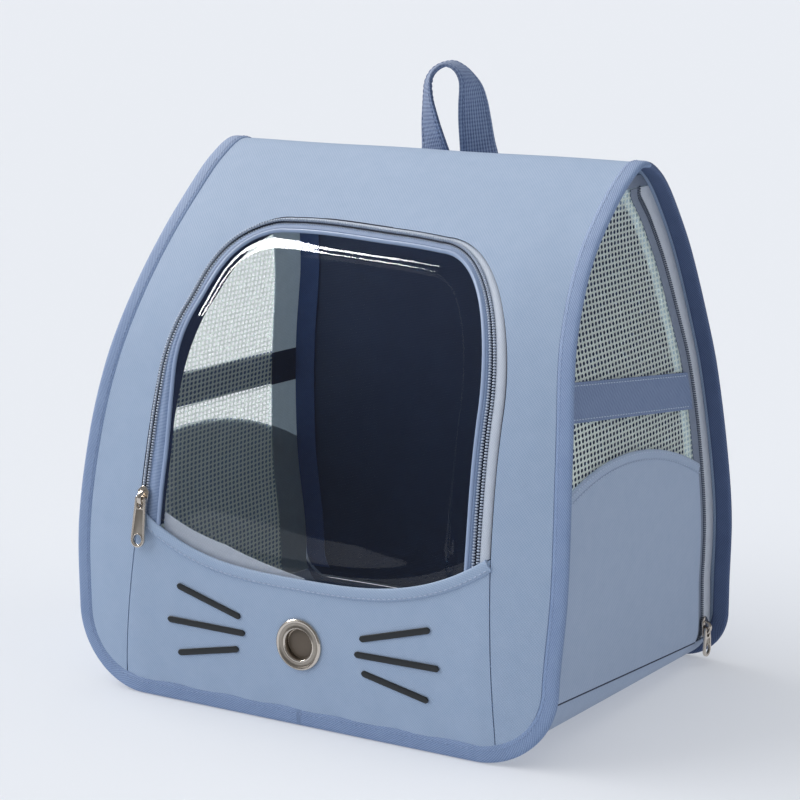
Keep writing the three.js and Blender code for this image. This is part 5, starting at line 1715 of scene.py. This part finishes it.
# %% The shoulder pads
def pad_rings(side, shrink):
    """Rings of a pad, shrunk to leave room for its stuffing."""
    rows = np.array(PAD_ROWS, float)
    path = centripetal(strap_knots(rows[:, :3], side), 60)
    across, out = strap_axes(path)
    place = np.linspace(0, len(rows) - 1, len(path))
    width = np.interp(place, np.arange(len(rows)), rows[:, 3]) - shrink
    thickness = np.interp(place, np.arange(len(rows)), rows[:, 4]) - shrink
    outline = oval(1.0, 1.0, 32, 0.5)[None] * np.stack((width, thickness), -1)[:, None]
    return ring_path(path, across, out, outline)


STUFFING = {"voxel": 0.005, "pressure": 4.0, "frames": 20, "farthest": 0.0012}


def stuff(piece):
    """Fills a pad: a soft pressure from inside, without weight, then one smoothing."""
    remesh = piece.modifiers.new("even", "REMESH")
    remesh.mode = "VOXEL"
    remesh.voxel_size = STUFFING["voxel"]
    settle(piece)
    rest = np.array([vertex.co for vertex in piece.data.vertices])
    cloth = piece.modifiers.new("stuffing", "CLOTH")
    cloth.settings.use_pressure = True
    cloth.settings.uniform_pressure_force = STUFFING["pressure"]
    cloth.settings.effector_weights.gravity = 0.0
    cloth.settings.quality = 6
    cloth.point_cache.frame_start = 1
    cloth.point_cache.frame_end = STUFFING["frames"]
    for step in range(1, STUFFING["frames"] + 1):
        scene.frame_set(step)
    settle(piece)
    scene.frame_set(1)
    moved = np.array([vertex.co for vertex in piece.data.vertices]) - rest
    far = np.linalg.norm(moved, axis=1, keepdims=True)
    kept = rest + moved * np.minimum(1, STUFFING["farthest"] / np.maximum(far, 1e-9))
    piece.data.vertices.foreach_set("co", kept.ravel())
    smoother = piece.modifiers.new("smooth", "SUBSURF")
    smoother.levels = 1
    smoother.render_levels = 1
    settle(piece)


for side_name, side in (("left", -1), ("right", 1)):
    pad = make_loft("pad_cloth_" + side_name, pad_rings(side, 1.6), sharp=90)
    stuff(pad)
    pad.data.shade_smooth()
    dress(pad, PAD_CLOTH, "pad_fabric", "shoulder_pad_" + side_name)
    print(pad.name, len(pad.data.polygons), "faces")

# %% [markdown]
# ## Floor, light and camera
#
# The photograph has a pale studio floor and soft light from the upper left, with a fill that keeps the
# side readable. A large floor and three broad suns give the same soft shadow and let light fall through
# the net; they don't show in gloss. A strip lamp shows only in gloss, where it draws the film's bright line.
# The camera stands where lines fitted to the body's edges put it.

# %% Floor, lamps and camera
floor_mesh = bpy.data.meshes.new("studio_floor")
reach = 30.0
corners = [(-reach, -reach, 0), (reach, -reach, 0), (reach, reach, 0), (-reach, reach, 0)]
floor_mesh.from_pydata(corners, [], [(0, 1, 2, 3)])
floor_mesh.materials.append(plain_material(
    "lit_floor", "#bec1c6", 0.9, Specular_IOR_Level=0.0, Emission_Color=linear("#f2f5fb"),
    Emission_Strength=0.33,
))
floor = bpy.data.objects.new("studio_floor", floor_mesh)
scene.collection.objects.link(floor)

world = bpy.data.worlds.new("studio")
scene.world = world
world.use_nodes = True
world.node_tree.nodes["Background"].inputs["Color"].default_value = linear("#f6f7fa")
world.node_tree.nodes["Background"].inputs["Strength"].default_value = 0.22

target = Vector((0.0, TO_FRAME[1] / 1000, 0.1779))


def add_lamp(name, kind, way, power, along=None, **settings):
    """A lamp in a direction: laid along a line it shows only in gloss, otherwise only as light."""
    lamp = bpy.data.lights.new(name, kind)
    lamp.energy = power
    for key, value in settings.items():
        setattr(lamp, key, value)
    stand = bpy.data.objects.new(name, lamp)
    out = Vector(way).normalized()
    stand.location = target + 2.5 * out
    right = Vector(along or (0, 0, 1)).cross(out).normalized()
    stand.rotation_euler = Matrix((out.cross(right), -right, out)).transposed().to_euler()
    stand.visible_glossy = along is not None
    stand.visible_transmission = along is not None
    stand.visible_diffuse = along is None
    scene.collection.objects.link(stand)


add_lamp("top_light", "SUN", (-0.25, -0.2, 0.95), 1.45, angle=math.radians(100))
add_lamp("key_light", "SUN", (-0.88, -0.25, 0.42), 2.2, angle=math.radians(80))
add_lamp("fill_light", "SUN", (0.88, 0.36, 0.3), 0.78, angle=math.radians(60))
add_lamp(
    "strip_light", "AREA", (-0.72, 0.07, 0.68), 160, (0.37, 0.29, 0.39),
    shape="RECTANGLE", size=1.9, size_y=0.6,
)

AZIMUTH = math.radians(30.9)
ELEVATION = math.radians(12.3)
DISTANCE = 1.561
camera = bpy.data.cameras.new("photo_camera")
camera.lens = 108
camera.sensor_width = 36
camera.shift_x = -0.0011
camera.shift_y = 0.01575
eye = bpy.data.objects.new("photo_camera", camera)
back = Vector((
    math.sin(AZIMUTH) * math.cos(ELEVATION), -math.cos(AZIMUTH) * math.cos(ELEVATION), math.sin(ELEVATION),
))
eye.location = target + back * DISTANCE
eye.rotation_euler = back.to_track_quat("Z", "Y").to_euler()
scene.collection.objects.link(eye)
scene.camera = eye
scene.view_settings.view_transform = "Standard"
print("stage ready")
